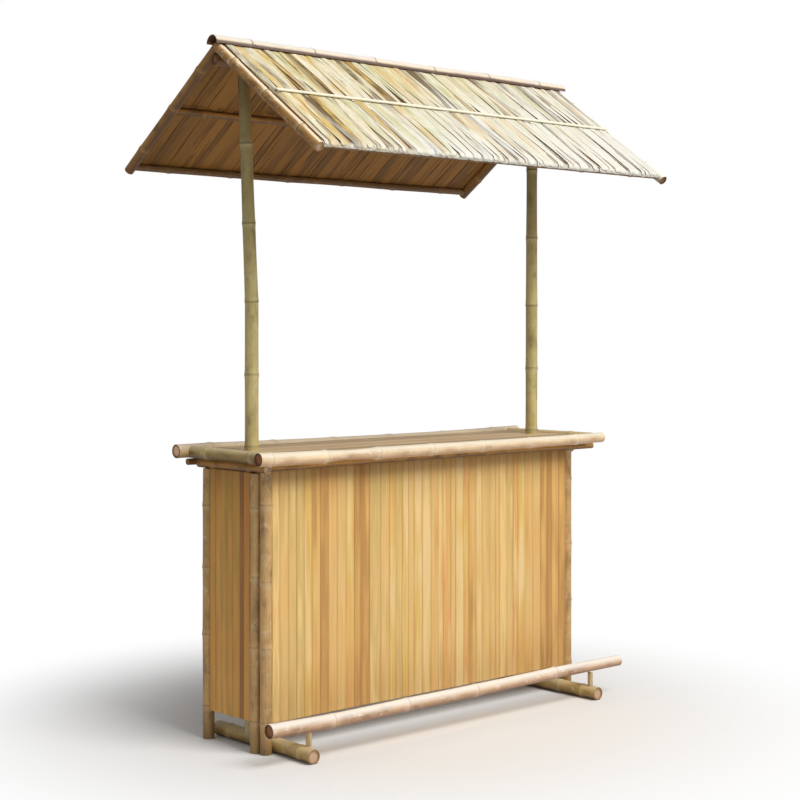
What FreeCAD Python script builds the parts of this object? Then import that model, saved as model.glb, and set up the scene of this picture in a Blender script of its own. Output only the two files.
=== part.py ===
import FreeCAD, Part
import math
import os

import Sketcher
from FreeCAD import Placement, Rotation, Vector

# Bamboo bar counter with a gabled, leaf-thatched roof.
# Own frame: X along the counter, Y from the customers' side to the barkeeper's side, Z up.
# The origin is on the floor, under the middle of the ridge.

# Driving sizes in millimetres
SIZES = {
    # fits and bamboo
    "clearance": 0.3,
    "node_bulge": 1.5,
    "node_roundness": 3.0,
    "culm_wall": 6.0,
    "end_bore_depth": 25.0,
    "peg_diameter": 12.0,
    "peg_length": 46.0,
    # panels of the counter
    "post_diameter": 43.0,
    "post_height": 988.0,
    "post_internode": 200.0,
    "front_post_spacing": 1570.0,
    "front_post_reach": 150.0,
    "back_post_reach": 180.0,
    "side_post_outset": 10.0,
    "rail_diameter": 26.0,
    "bottom_rail_height": 114.0,
    "top_rail_drop": 48.0,
    "slat_thickness": 7.5,
    "slat_gap": 1.0,
    "slat_bottom_drop": 6.0,
    "front_slat_count": 41,
    "side_slat_count": 7,
    # counter top
    "bearer_diameter": 35.0,
    "bearer_back_overhang": 36.0,
    "support_diameter": 28.0,
    "support_rise": 4.5,
    "front_support_inset": 15.0,
    "front_support_overhang": 95.0,
    "back_support_overhang": 45.0,
    "rim_diameter": 52.0,
    "rim_internode": 290.0,
    "rim_overhang": 61.0,
    "rim_front_overhang": 98.0,
    "rim_back_overhang": 65.0,
    "side_rim_diameter": 46.0,
    "side_rim_outset": 39.0,
    "batten_diameter": 24.0,
    "batten_inset": 165.0,
    "top_slat_thickness": 12.0,
    "top_slat_gap": 1.5,
    "top_slats_each_side": 6,
    # base and footrest
    "skid_diameter": 54.0,
    "skid_flat": 1.5,
    "skid_internode": 165.0,
    "skid_front_overhang": 42.0,
    "footrest_diameter": 54.0,
    "footrest_height": 131.0,
    "footrest_standoff": 176.0,
    "footrest_overhang": 174.0,
    "footrest_internode": 255.0,
    "footrest_peg_diameter": 21.0,
    # roof posts
    "roof_post_diameter": 50.0,
    "roof_post_internode": 285.0,
    "roof_post_collar_height": 12.0,
    "roof_post_bend_rise": 520.0,
    "left_roof_post_lean": 40.0,
    "right_roof_post_lean": 0.0,
    # roof
    "apex_height": 2500.0,
    "eave_height": 2100.0,
    "eave_run": 570.0,
    "gable_overhang": 151.0,
    "rafter_diameter": 38.0,
    "rafter_internode": 165.0,
    "ridge_diameter": 40.0,
    "ridge_internode": 250.0,
    "ridge_overhang": 14.0,
    "purlin_diameter": 26.0,
    "head_pole_distance": 32.0,
    "eave_pole_inset": 22.0,
    "leaf_thickness": 5.0,
    "leaf_gap": 6.0,
    "leaf_count": 28,
    "leaf_ragged": 6.0,
    "thatch_ridge_lap": 6.0,
    "thatch_eave_overhang": 8.0,
    "top_batten_width": 18.0,
    "top_batten_thickness": 6.0,
    "top_batten_inset": 30.0,
    "ridge_cap_diameter": 66.0,
    "ridge_cap_overhang": 7.0,
}

ALONG_X = Vector(1, 0, 0)
ALONG_Y = Vector(0, 1, 0)
ALONG_Z = Vector(0, 0, 1)
SIDES = (("left", -1), ("right", 1))
SLOPES = (("front", -1), ("back", 1))

# How far a cutting block or a drilled hole runs past what it trims, in widths of that piece
CUT_REACH = 3
# Turn of the wave that the leaves' ragged tips follow, in radians from one leaf to the next
TIP_WAVE = 2.4

doc = FreeCAD.newDocument("TikiBar")
subparts = []


def fill_sheet():
    """Write every driving size into its own named cell."""
    sheet = doc.addObject("Spreadsheet::Sheet", "Sizes")
    for row, (name, size) in enumerate(SIZES.items(), start=1):
        sheet.set(f"A{row}", name)
        sheet.set(f"B{row}", str(size))
        sheet.setAlias(f"B{row}", name)
    doc.recompute()
    return sheet


sheet = fill_sheet()


def size(name):
    """The number in one cell of the sheet."""
    return float(sheet.get(name))


def count(name):
    """A cell that counts pieces."""
    return max(1, round(size(name)))


def bind(piece, **formulas):
    """Tie properties to formulas of the sheet's names, written between brackets."""
    for name, formula in formulas.items():
        piece.setExpression(name, formula.replace("[", "Sizes.").replace("]", ""))


def turned(start, direction):
    """Placement that lays a piece's own Z axis along a direction, from a starting point."""
    return Placement(start, Rotation(ALONG_Z, direction))


def cylinder(name, diameter, length, start, direction):
    """Round bar whose diameter and length are formulas."""
    bar = doc.addObject("Part::Cylinder", name)
    bind(bar, Radius=f"({diameter}) / 2", Height=length)
    bar.Placement = turned(start, direction)
    return bar


def box(name, corner, rotation, **formulas):
    """Straight lath or cutting block whose three sides are formulas."""
    lath = doc.addObject("Part::Box", name)
    bind(lath, **formulas)
    lath.Placement = Placement(corner, rotation)
    return lath


def node_ring(name, diameter, place, direction):
    """Raised ring of a bamboo node round a pole of that diameter."""
    ring = doc.addObject("Part::Torus", name)
    bind(ring, Radius1=f"({diameter}) / 2 + [node_bulge] - [node_roundness]", Radius2="[node_roundness]")
    ring.Placement = turned(place, direction)
    return ring


def ball(name, diameter, centre):
    """Round knuckle that closes the outside of a bend."""
    knuckle = doc.addObject("Part::Sphere", name)
    bind(knuckle, Radius=f"({diameter}) / 2")
    knuckle.Placement = Placement(centre, Rotation())
    return knuckle


def end_bore(name, diameter, end, inward):
    """Open end of the hollow culm, as deep as its first wall."""
    return cylinder(name, f"{diameter} - 2 * [culm_wall]", "[end_bore_depth]", end, inward)


def fused(name, pieces):
    """One solid from touching pieces."""
    if len(pieces) == 1:
        return pieces[0]
    joined = doc.addObject("Part::MultiFuse", name)
    joined.Shapes = pieces
    return joined


def cut(name, piece, tools):
    """Take each tool away from a piece in turn."""
    for number, tool in enumerate(tools, start=1):
        step = doc.addObject("Part::Cut", f"{name}_cut_{number}")
        step.Base = piece
        step.Tool = tool
        piece = step
    return piece


def keep(name, piece):
    """Make a piece a sub-part under its own label."""
    piece.Label = name
    subparts.append(piece)
    return piece


def group(name, pieces):
    """Like pieces that share one sub-part and stay separate solids."""
    together = doc.addObject("Part::Compound", f"{name}_group")
    together.Links = pieces
    return keep(name, together)


def ring_places(begin, finish, internode):
    """Even places of nodes along a stretch, half a spacing away from both of its ends."""
    rings = max(1, round((finish - begin) / internode))
    spacing = (finish - begin) / rings
    return [begin + spacing * (number + 0.5) for number in range(rings)]


def rings_from(begin, finish, internode):
    """Distances of evenly spaced nodes from one place, itself a node, up to the next."""
    spaces = max(1, round((finish - begin) / internode))
    return [begin + (finish - begin) * number / spaces for number in range(spaces)]


def pole(name, diameter, length, start, direction, rings=(), tools=()):
    """Bamboo pole: a straight culm with node rings, less whatever its neighbours need."""
    pieces = [cylinder(f"{name}_culm", diameter, length, start, direction)]
    for number, along in enumerate(rings, start=1):
        place = start + direction * along
        pieces.append(node_ring(f"{name}_node_{number}", diameter, place, direction))
    return keep(name, cut(name, fused(f"{name}_fused", pieces), tools))


# Places that several sub-parts share
CLEAR = size("clearance")
NODE_ROOM = size("node_bulge") + CLEAR
POST_RADIUS = size("post_diameter") / 2
FRONT_X = size("front_post_spacing") / 2
FRONT_Y = -size("front_post_reach")
BACK_Y = size("back_post_reach")
SIDE_X = FRONT_X + size("side_post_outset")
CORNER_REACH = size("post_diameter") + 2 * size("node_bulge") + CLEAR
SIDE_FRONT_Y = FRONT_Y + math.sqrt(CORNER_REACH**2 - size("side_post_outset") ** 2)
POST_TOP = size("post_height")
RAIL_RADIUS = size("rail_diameter") / 2
BOTTOM_RAIL_Z = size("bottom_rail_height")
TOP_RAIL_Z = POST_TOP - size("top_rail_drop")
MIDDLE_RAIL_Z = (BOTTOM_RAIL_Z + TOP_RAIL_Z) / 2
RAILS = (("bottom", BOTTOM_RAIL_Z), ("middle", MIDDLE_RAIL_Z), ("top", TOP_RAIL_Z))
SLAT_Z = BOTTOM_RAIL_Z - size("slat_bottom_drop")
# The rails are flush with the posts' inner faces, and the slats lie on their outer sides
RAIL_SETBACK = POST_RADIUS - RAIL_RADIUS
FRONT_RAIL_Y = FRONT_Y + RAIL_SETBACK
SIDE_RAIL_X = SIDE_X - RAIL_SETBACK
# From a post's axis to where a rail's own axis meets the post
RAIL_START = math.sqrt((POST_RADIUS + CLEAR) ** 2 - RAIL_SETBACK**2)
# How far a slat keeps from the axes of the two round posts that it lies between
SLAT_SETBACK = max(0, RAIL_RADIUS + CLEAR - RAIL_SETBACK)
SLAT_ROOM = math.sqrt((POST_RADIUS + NODE_ROOM) ** 2 - SLAT_SETBACK**2)

BEARER_Z = POST_TOP + CLEAR + size("bearer_diameter") / 2
SUPPORT_Z = BEARER_Z + size("support_rise")
SUPPORT_TOP = SUPPORT_Z + size("support_diameter") / 2
SUPPORT_FRONT_Y = FRONT_Y - POST_RADIUS - CLEAR - size("support_diameter") / 2
BEARER_BACK_Y = BACK_Y + POST_RADIUS + size("bearer_back_overhang")
SUPPORT_BACK_Y = BEARER_BACK_Y + CLEAR + size("support_diameter") / 2
RIM_FRONT_Y = FRONT_Y - size("rim_front_overhang")
RIM_BACK_Y = BACK_Y + size("rim_back_overhang")
RIM_SEAT_REACH = (size("rim_diameter") + size("support_diameter")) / 2 + NODE_ROOM
RIM_Z = SUPPORT_Z + math.sqrt(RIM_SEAT_REACH**2 - (SUPPORT_BACK_Y - RIM_BACK_Y) ** 2)
SIDE_RIM_X = SIDE_X + size("side_rim_outset")
SIDE_RIM_Z = SUPPORT_TOP + CLEAR + size("side_rim_diameter") / 2
RIM_END_X = SIDE_RIM_X + size("rim_overhang")
BATTEN_Z = SUPPORT_TOP + CLEAR + size("batten_diameter") / 2
TOP_SLAT_Z = BATTEN_Z + size("batten_diameter") / 2 + CLEAR
COUNTER_Z = TOP_SLAT_Z + size("top_slat_thickness")

SKID_RADIUS = size("skid_diameter") / 2
SKID_X = FRONT_X - POST_RADIUS - SKID_RADIUS - NODE_ROOM
SKID_Z = SKID_RADIUS - size("skid_flat")
FOOTREST_Y = FRONT_Y - size("footrest_standoff")
FOOTREST_X = SKID_X + size("footrest_overhang")
SKID_FRONT_Y = FOOTREST_Y - size("skid_front_overhang")
SKID_BACK_Y = BACK_Y + POST_RADIUS

ROOF_POST_X = SKID_X
SLOPE = math.atan2(size("apex_height") - size("eave_height"), size("eave_run"))
RAFTER_LENGTH = math.hypot(size("apex_height") - size("eave_height"), size("eave_run"))
RAFTER_RADIUS = size("rafter_diameter") / 2
RAFTER_X = ROOF_POST_X + size("gable_overhang")
PURLIN_RADIUS = size("purlin_diameter") / 2
RIDGE_Z = size("apex_height") - (RAFTER_RADIUS + size("ridge_diameter") / 2 + CLEAR) / math.cos(SLOPE)
APEX = Vector(0, 0, size("apex_height"))
THATCH_FLOOR = PURLIN_RADIUS + CLEAR
THATCH_TOP = THATCH_FLOOR + 2 * size("leaf_thickness") + CLEAR
THATCH_X = RAFTER_X - RAFTER_RADIUS - NODE_ROOM


def post_seat(name, x, y):
    """Room for a panel post, for the poles that butt against it."""
    return cylinder(name, "[post_diameter] + 2 * [clearance]", "[post_height]", Vector(x, y, 0), ALONG_Z)


def post_rings():
    """Heights of a panel post's nodes, clear of its rails."""
    internode = size("post_internode")
    return (
        ring_places(0, BOTTOM_RAIL_Z, internode)
        + ring_places(BOTTOM_RAIL_Z, MIDDLE_RAIL_Z, internode)
        + ring_places(MIDDLE_RAIL_Z, TOP_RAIL_Z, internode)
    )


def corner_peg_heights():
    """The pegs that hold a corner's two posts together sit midway between the rails."""
    return (BOTTOM_RAIL_Z + MIDDLE_RAIL_Z) / 2, (MIDDLE_RAIL_Z + TOP_RAIL_Z) / 2


def peg(name, centre, direction):
    """Straight peg about a centre."""
    start = centre - direction * (size("peg_length") / 2)
    return cylinder(name, "[peg_diameter]", "[peg_length]", start, direction)


def peg_hole(name, centre, direction):
    """Hole for a peg, one clearance larger all round and at both ends."""
    start = centre - direction * (size("peg_length") / 2 + CLEAR)
    width = "[peg_diameter] + 2 * [clearance]"
    return cylinder(name, width, "[peg_length] + 2 * [clearance]", start, direction)


def build_corner_pegs():
    """Pegs between a front post and the side post behind it; returns their holes by side."""
    pegs = []
    holes = {}
    for side, sign in SIDES:
        holes[side] = []
        front = Vector(sign * FRONT_X, FRONT_Y, 0)
        behind = Vector(sign * SIDE_X, SIDE_FRONT_Y, 0)
        direction = (behind - front).normalize()
        for level, height in enumerate(corner_peg_heights(), start=1):
            centre = (front + behind) * 0.5 + Vector(0, 0, height)
            pegs.append(peg(f"{side}_corner_peg_{level}", centre, direction))
            holes[side].append(peg_hole(f"{side}_corner_hole_{level}", centre, direction))
    group("corner_pegs", pegs)
    return holes


def build_skid_pegs():
    """Pegs that pin the front and back posts to the skids; returns their holes by side."""
    pegs = []
    holes = {}
    for side, sign in SIDES:
        holes[side] = {}
        for place, x, y in (("front", FRONT_X, FRONT_Y), ("back", SIDE_X, BACK_Y)):
            middle = Vector(sign * (x + SKID_X) / 2, y, SKID_Z)
            pegs.append(peg(f"{side}_{place}_skid_peg", middle, ALONG_X))
            holes[side][place] = peg_hole(f"{side}_{place}_skid_hole", middle, ALONG_X)
    group("skid_pegs", pegs)
    return holes


def build_panel_posts(corner_holes, skid_holes):
    """The six posts that frame the front and the two sides."""
    for side, sign in SIDES:
        places = (
            (f"front_{side}_post", sign * FRONT_X, FRONT_Y, corner_holes[side] + [skid_holes[side]["front"]]),
            (f"{side}_side_front_post", sign * SIDE_X, SIDE_FRONT_Y, corner_holes[side]),
            (f"{side}_side_back_post", sign * SIDE_X, BACK_Y, [skid_holes[side]["back"]]),
        )
        for name, x, y, holes in places:
            pole(name, "[post_diameter]", "[post_height]", Vector(x, y, 0), ALONG_Z, post_rings(), holes)


def build_front_rails():
    """Three rails between the front posts, which the front slats are nailed to."""
    seats = [post_seat(f"front_{side}_post_seat", sign * FRONT_X, FRONT_Y) for side, sign in SIDES]
    length = f"[front_post_spacing] - {2 * RAIL_START}"
    for level, height in RAILS:
        start = Vector(-FRONT_X + RAIL_START, FRONT_RAIL_Y, height)
        pole(f"front_{level}_rail", "[rail_diameter]", length, start, ALONG_X, tools=seats)


def build_side_rails():
    """Three rails in each side panel, and the stretcher low between the two back posts."""
    length = f"{BACK_Y - SIDE_FRONT_Y - 2 * RAIL_START}"
    back_seats = []
    for side, sign in SIDES:
        seats = [
            post_seat(f"{side}_side_front_post_seat", sign * SIDE_X, SIDE_FRONT_Y),
            post_seat(f"{side}_side_back_post_seat", sign * SIDE_X, BACK_Y),
        ]
        back_seats.append(seats[1])
        for level, height in RAILS:
            start = Vector(sign * SIDE_RAIL_X, BACK_Y - RAIL_START, height)
            pole(f"{side}_side_{level}_rail", "[rail_diameter]", length, start, -ALONG_Y, tools=seats)
    start = Vector(-SIDE_X, BACK_Y, BOTTOM_RAIL_Z)
    length = "[front_post_spacing] + 2 * [side_post_outset]"
    pole("back_stretcher", "[rail_diameter]", length, start, ALONG_X, tools=back_seats)


def build_front_slats():
    """Upright slats of the front panel, nailed to its rails, up behind the support pole."""
    slats = []
    support_height = "[post_height] + [clearance] + [bearer_diameter] / 2 + [support_rise]"
    slat_count = count("front_slat_count")
    pitch = 2 * (FRONT_X - SLAT_ROOM) / slat_count
    y = FRONT_RAIL_Y - RAIL_RADIUS - CLEAR - size("slat_thickness")
    for number in range(slat_count):
        x = pitch * (number - slat_count / 2) + size("slat_gap") / 2
        corner = Vector(x, y, SLAT_Z)
        slats.append(
            box(
                f"front_slat_{number + 1}",
                corner,
                Rotation(),
                Length=f"{pitch} - [slat_gap]",
                Width="[slat_thickness]",
                Height=f"{support_height} - ([bottom_rail_height] - [slat_bottom_drop])",
            )
        )
    group("front_slats", slats)


def build_side_slats():
    """Upright slats of each side panel, between its two posts and up to their tops."""
    slat_count = count("side_slat_count")
    begin = SIDE_FRONT_Y + SLAT_ROOM
    finish = BACK_Y - SLAT_ROOM
    pitch = (finish - begin) / slat_count
    for side, sign in SIDES:
        slats = []
        inner = SIDE_RAIL_X + RAIL_RADIUS + CLEAR
        x = inner if sign > 0 else -inner - size("slat_thickness")
        for number in range(slat_count):
            y = begin + pitch * number + size("slat_gap") / 2
            slats.append(
                box(
                    f"{side}_side_slat_{number + 1}",
                    Vector(x, y, SLAT_Z),
                    Rotation(),
                    Length="[slat_thickness]",
                    Width=f"{pitch} - [slat_gap]",
                    Height="[post_height] - ([bottom_rail_height] - [slat_bottom_drop])",
                )
            )
        group(f"{side}_side_slats", slats)


def build_counter_supports():
    """Bearers on top of the posts, and the two long poles that the counter top lies on."""
    length = "[back_post_reach] + [front_post_reach] + [post_diameter] + [bearer_back_overhang]"
    for side, sign in SIDES:
        start = Vector(sign * SIDE_X, FRONT_Y - POST_RADIUS, BEARER_Z)
        pole(f"{side}_bearer", "[bearer_diameter]", length, start, ALONG_Y)
    left_x = -SIDE_X + size("front_support_inset")
    right_x = SIDE_X + size("front_support_overhang")
    right_end = Vector(right_x, SUPPORT_FRONT_Y, SUPPORT_Z)
    pole(
        "front_support_pole",
        "[support_diameter]",
        "[front_post_spacing] + 2 * [side_post_outset] - [front_support_inset] + [front_support_overhang]",
        Vector(left_x, SUPPORT_FRONT_Y, SUPPORT_Z),
        ALONG_X,
        tools=[end_bore("front_support_bore", "[support_diameter]", right_end, -ALONG_X)],
    )
    end_x = SIDE_X + size("back_support_overhang")
    left_end = Vector(-end_x, SUPPORT_BACK_Y, SUPPORT_Z)
    right_end = Vector(end_x, SUPPORT_BACK_Y, SUPPORT_Z)
    pole(
        "back_support_pole",
        "[support_diameter]",
        "[front_post_spacing] + 2 * [side_post_outset] + 2 * [back_support_overhang]",
        left_end,
        ALONG_X,
        tools=[
            end_bore("back_support_left_bore", "[support_diameter]", left_end, ALONG_X),
            end_bore("back_support_right_bore", "[support_diameter]", right_end, -ALONG_X),
        ],
    )


def build_rims():
    """The counter's four edge poles; the side ones are scribed to the long ones and pegged."""
    long_length = "[front_post_spacing] + 2 * ([side_post_outset] + [side_rim_outset] + [rim_overhang])"
    seats = []
    pegs = []
    holes = {}
    inset = size("rim_diameter") / 2
    for edge, y, inward in (("front", RIM_FRONT_Y, 1), ("back", RIM_BACK_Y, -1)):
        start = Vector(-RIM_END_X, y, RIM_Z)
        seat_width = "[rim_diameter] + 2 * [clearance]"
        seats.append(cylinder(f"{edge}_rim_seat", seat_width, long_length, start, ALONG_X))
        holes[edge] = {}
        for side, sign in SIDES:
            centre = Vector(sign * SIDE_RIM_X, y + inward * inset, SIDE_RIM_Z)
            pegs.append(peg(f"{edge}_{side}_rim_peg", centre, ALONG_Y))
            holes[edge][side] = peg_hole(f"{edge}_{side}_rim_hole", centre, ALONG_Y)
    for edge, y in (("front", RIM_FRONT_Y), ("back", RIM_BACK_Y)):
        start = Vector(-RIM_END_X, y, RIM_Z)
        end = Vector(RIM_END_X, y, RIM_Z)
        margin = size("rim_overhang")
        rings = ring_places(margin, 2 * RIM_END_X - margin, size("rim_internode"))
        tools = [
            end_bore(f"{edge}_rim_left_bore", "[rim_diameter]", start, ALONG_X),
            end_bore(f"{edge}_rim_right_bore", "[rim_diameter]", end, -ALONG_X),
            holes[edge]["left"],
            holes[edge]["right"],
        ]
        pole(f"counter_{edge}_rim", "[rim_diameter]", long_length, start, ALONG_X, rings, tools)
    depth = "[front_post_reach] + [back_post_reach] + [rim_front_overhang] + [rim_back_overhang]"
    rings = ring_places(0, RIM_BACK_Y - RIM_FRONT_Y, size("rim_internode"))
    for side, sign in SIDES:
        start = Vector(sign * SIDE_RIM_X, RIM_FRONT_Y, SIDE_RIM_Z)
        tools = seats + [holes["front"][side], holes["back"][side]]
        pole(f"counter_{side}_rim", "[side_rim_diameter]", depth, start, ALONG_Y, rings, tools)
    group("rim_pegs", pegs)


def build_counter_top():
    """Battens from rim to rim, and the long slats of the counter top on them."""
    depth = "[front_post_reach] + [back_post_reach] + [rim_front_overhang] + [rim_back_overhang]"
    long_length = "2 * [rim_overhang] + [front_post_spacing]"
    room = "[rim_diameter] + 2 * ([node_bulge] + [clearance])"
    half = RIM_END_X - size("rim_overhang")
    rooms = [
        cylinder("front_rim_room", room, long_length, Vector(-half, RIM_FRONT_Y, RIM_Z), ALONG_X),
        cylinder("back_rim_room", room, long_length, Vector(-half, RIM_BACK_Y, RIM_Z), ALONG_X),
    ]
    for name, place in (("left", -1), ("middle", 0), ("right", 1)):
        start = Vector(place * (FRONT_X - size("batten_inset")), RIM_FRONT_Y, BATTEN_Z)
        pole(f"counter_{name}_batten", "[batten_diameter]", depth, start, ALONG_Y, tools=rooms)
    post_holes = [
        cylinder(
            f"{side}_roof_post_hole",
            "[roof_post_diameter] + 2 * ([node_bulge] + [clearance])",
            f"{2 * CUT_REACH} * [top_slat_thickness]",
            Vector(sign * ROOF_POST_X, 0, TOP_SLAT_Z - CUT_REACH * size("top_slat_thickness")),
            ALONG_Z,
        )
        for side, sign in SIDES
    ]
    front_edge = RIM_FRONT_Y + size("rim_diameter") / 2 + NODE_ROOM
    back_edge = RIM_BACK_Y - size("rim_diameter") / 2 - NODE_ROOM
    half_length = SIDE_RIM_X - size("side_rim_diameter") / 2 - NODE_ROOM
    hole_radius = size("roof_post_diameter") / 2 + NODE_ROOM
    each_side = count("top_slats_each_side")
    slats = []
    # two slats meet on the line of the roof posts, so each is only notched
    for begin, finish in ((front_edge, 0), (0, back_edge)):
        pitch = (finish - begin) / each_side
        for number in range(each_side):
            y = begin + pitch * number + size("top_slat_gap") / 2
            slat = box(
                f"counter_top_slat_{len(slats) + 1}",
                Vector(-half_length, y, TOP_SLAT_Z),
                Rotation(),
                Length=f"{2 * half_length}",
                Width=f"{pitch} - [top_slat_gap]",
                Height="[top_slat_thickness]",
            )
            meets_post = y < hole_radius and y + pitch - size("top_slat_gap") > -hole_radius
            if meets_post:
                slat = cut(f"counter_top_slat_{len(slats) + 1}", slat, post_holes)
            slats.append(slat)
    group("counter_top_slats", slats)


def build_base(skid_holes, ridge_holes):
    """Skids on the floor, and the footrest pole on its two pegs."""
    skid_length = (
        "[front_post_reach] + [back_post_reach] + [footrest_standoff] + [skid_front_overhang]"
        " + [post_diameter] / 2"
    )
    footrest_length = (
        "[front_post_spacing] - [post_diameter] - [skid_diameter]"
        " - 2 * ([node_bulge] + [clearance]) + 2 * [footrest_overhang]"
    )
    left_end = Vector(-FOOTREST_X, FOOTREST_Y, size("footrest_height"))
    right_end = Vector(FOOTREST_X, FOOTREST_Y, size("footrest_height"))
    overhang = size("footrest_overhang")
    span = 2 * FOOTREST_X
    rings = (
        ring_places(0, overhang, size("footrest_internode"))
        + ring_places(overhang, span - overhang, size("footrest_internode"))
        + ring_places(span - overhang, span, size("footrest_internode"))
    )
    bores = [
        end_bore("footrest_left_bore", "[footrest_diameter]", left_end, ALONG_X),
        end_bore("footrest_right_bore", "[footrest_diameter]", right_end, -ALONG_X),
    ]
    pole("footrest_pole", "[footrest_diameter]", footrest_length, left_end, ALONG_X, rings, bores)
    footrest_seat = cylinder(
        "footrest_seat", "[footrest_diameter] + 2 * [clearance]", footrest_length, left_end, ALONG_X
    )
    for side, sign in SIDES:
        start = Vector(sign * SKID_X, SKID_FRONT_Y, SKID_Z)
        seat = cylinder(f"{side}_skid_seat", "[skid_diameter] + 2 * [clearance]", skid_length, start, ALONG_Y)
        pole(
            f"{side}_footrest_peg",
            "[footrest_peg_diameter]",
            f"[footrest_height] - {SKID_Z}",
            Vector(sign * SKID_X, FOOTREST_Y, SKID_Z),
            ALONG_Z,
            tools=[seat, footrest_seat],
        )
        peg_along = FOOTREST_Y - SKID_FRONT_Y
        post_along = -SKID_FRONT_Y
        rings = ring_places(peg_along, post_along, size("skid_internode"))
        rings += ring_places(post_along, SKID_BACK_Y - SKID_FRONT_Y, size("skid_internode"))
        flat = box(
            f"{side}_skid_ground",
            Vector(sign * SKID_X - SKID_RADIUS, SKID_FRONT_Y, -size("skid_diameter")),
            Rotation(),
            Length="[skid_diameter]",
            Width=skid_length,
            Height="[skid_diameter]",
        )
        tools = [
            flat,
            end_bore(f"{side}_skid_bore", "[skid_diameter]", start, ALONG_Y),
            skid_holes[side]["front"],
            skid_holes[side]["back"],
        ]
        pole(f"{side}_skid", "[skid_diameter]", skid_length, start, ALONG_Y, rings, tools)
        build_roof_post(side, sign, seat, ridge_holes[side])


def roof_post_head(side, sign):
    """Where a roof post's axis meets the ridge pole's; a crooked post leans out to it."""
    return Vector(sign * (ROOF_POST_X + size(f"{side}_roof_post_lean")), 0, RIDGE_Z)


def build_roof_post(side, sign, skid_seat, ridge_hole):
    """Tall post from the skid through the counter top to the ridge pole, bent at a node."""
    name = f"{side}_roof_post"
    diameter = "[roof_post_diameter]"
    foot = Vector(sign * ROOF_POST_X, 0, SKID_Z)
    collar_z = COUNTER_Z + size("roof_post_collar_height")
    bend = Vector(sign * ROOF_POST_X, 0, collar_z + size("roof_post_bend_rise"))
    head = roof_post_head(side, sign)
    reach = CUT_REACH * size("roof_post_diameter")
    ridge_seat = cylinder(
        f"{side}_ridge_seat",
        "[ridge_diameter] + 2 * [clearance]",
        f"{2 * reach}",
        head - ALONG_X * reach,
        ALONG_X,
    )
    pieces = []
    internode = size("roof_post_internode")
    upwards = (head - bend).normalize()
    lower_rings = ring_places(SKID_RADIUS, TOP_SLAT_Z - SKID_Z, internode)
    lower_rings += rings_from(collar_z - SKID_Z, bend.z - SKID_Z, internode)
    upper_rings = rings_from(0, (head - bend).Length, internode)
    stretches = (
        ("lower", foot, bend, ALONG_Z, lower_rings),
        ("upper", bend, head, upwards, upper_rings),
    )
    for part, start, end, direction, rings in stretches:
        length = f"{(end - start).Length}"
        pieces.append(cylinder(f"{name}_{part}_culm", diameter, length, start, direction))
        for number, along in enumerate(rings, start=1):
            place = start + direction * along
            pieces.append(node_ring(f"{name}_{part}_node_{number}", diameter, place, direction))
    pieces.append(ball(f"{name}_knuckle", diameter, bend))
    keep(name, cut(name, fused(f"{name}_fused", pieces), [skid_seat, ridge_seat, ridge_hole]))


def build_ridge_pegs():
    """Upright pegs between the roof posts' tops and the ridge pole; returns their holes by side."""
    pegs = []
    holes = {}
    for side, sign in SIDES:
        centre = roof_post_head(side, sign) - ALONG_Z * (size("ridge_diameter") / 2)
        pegs.append(peg(f"{side}_ridge_peg", centre, ALONG_Z))
        holes[side] = peg_hole(f"{side}_ridge_hole", centre, ALONG_Z)
    group("ridge_pegs", pegs)
    return holes


def build_ridge_pole(ridge_holes):
    """Ridge pole on the two roof posts."""
    end_x = RAFTER_X + size("ridge_overhang")
    left_end = Vector(-end_x, 0, RIDGE_Z)
    right_end = Vector(end_x, 0, RIDGE_Z)
    rings = ring_places(end_x - ROOF_POST_X, end_x + ROOF_POST_X, size("ridge_internode"))
    tools = [
        end_bore("ridge_left_bore", "[ridge_diameter]", left_end, ALONG_X),
        end_bore("ridge_right_bore", "[ridge_diameter]", right_end, -ALONG_X),
        ridge_holes["left"],
        ridge_holes["right"],
    ]
    pole("ridge_pole", "[ridge_diameter]", f"{2 * end_x}", left_end, ALONG_X, rings, tools)


def down_slope(sign):
    """Unit vector down the front (-1) or back (1) slope."""
    return Vector(0, sign * math.cos(SLOPE), -math.sin(SLOPE))


def off_slope(sign):
    """Unit vector square to the front (-1) or back (1) slope, outwards."""
    return Vector(0, sign * math.sin(SLOPE), math.cos(SLOPE))


def on_slope(sign, x, along, off):
    """Point at a distance down a slope and a height off the rafters' axes."""
    return APEX + Vector(x, 0, 0) + down_slope(sign) * along + off_slope(sign) * off


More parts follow.
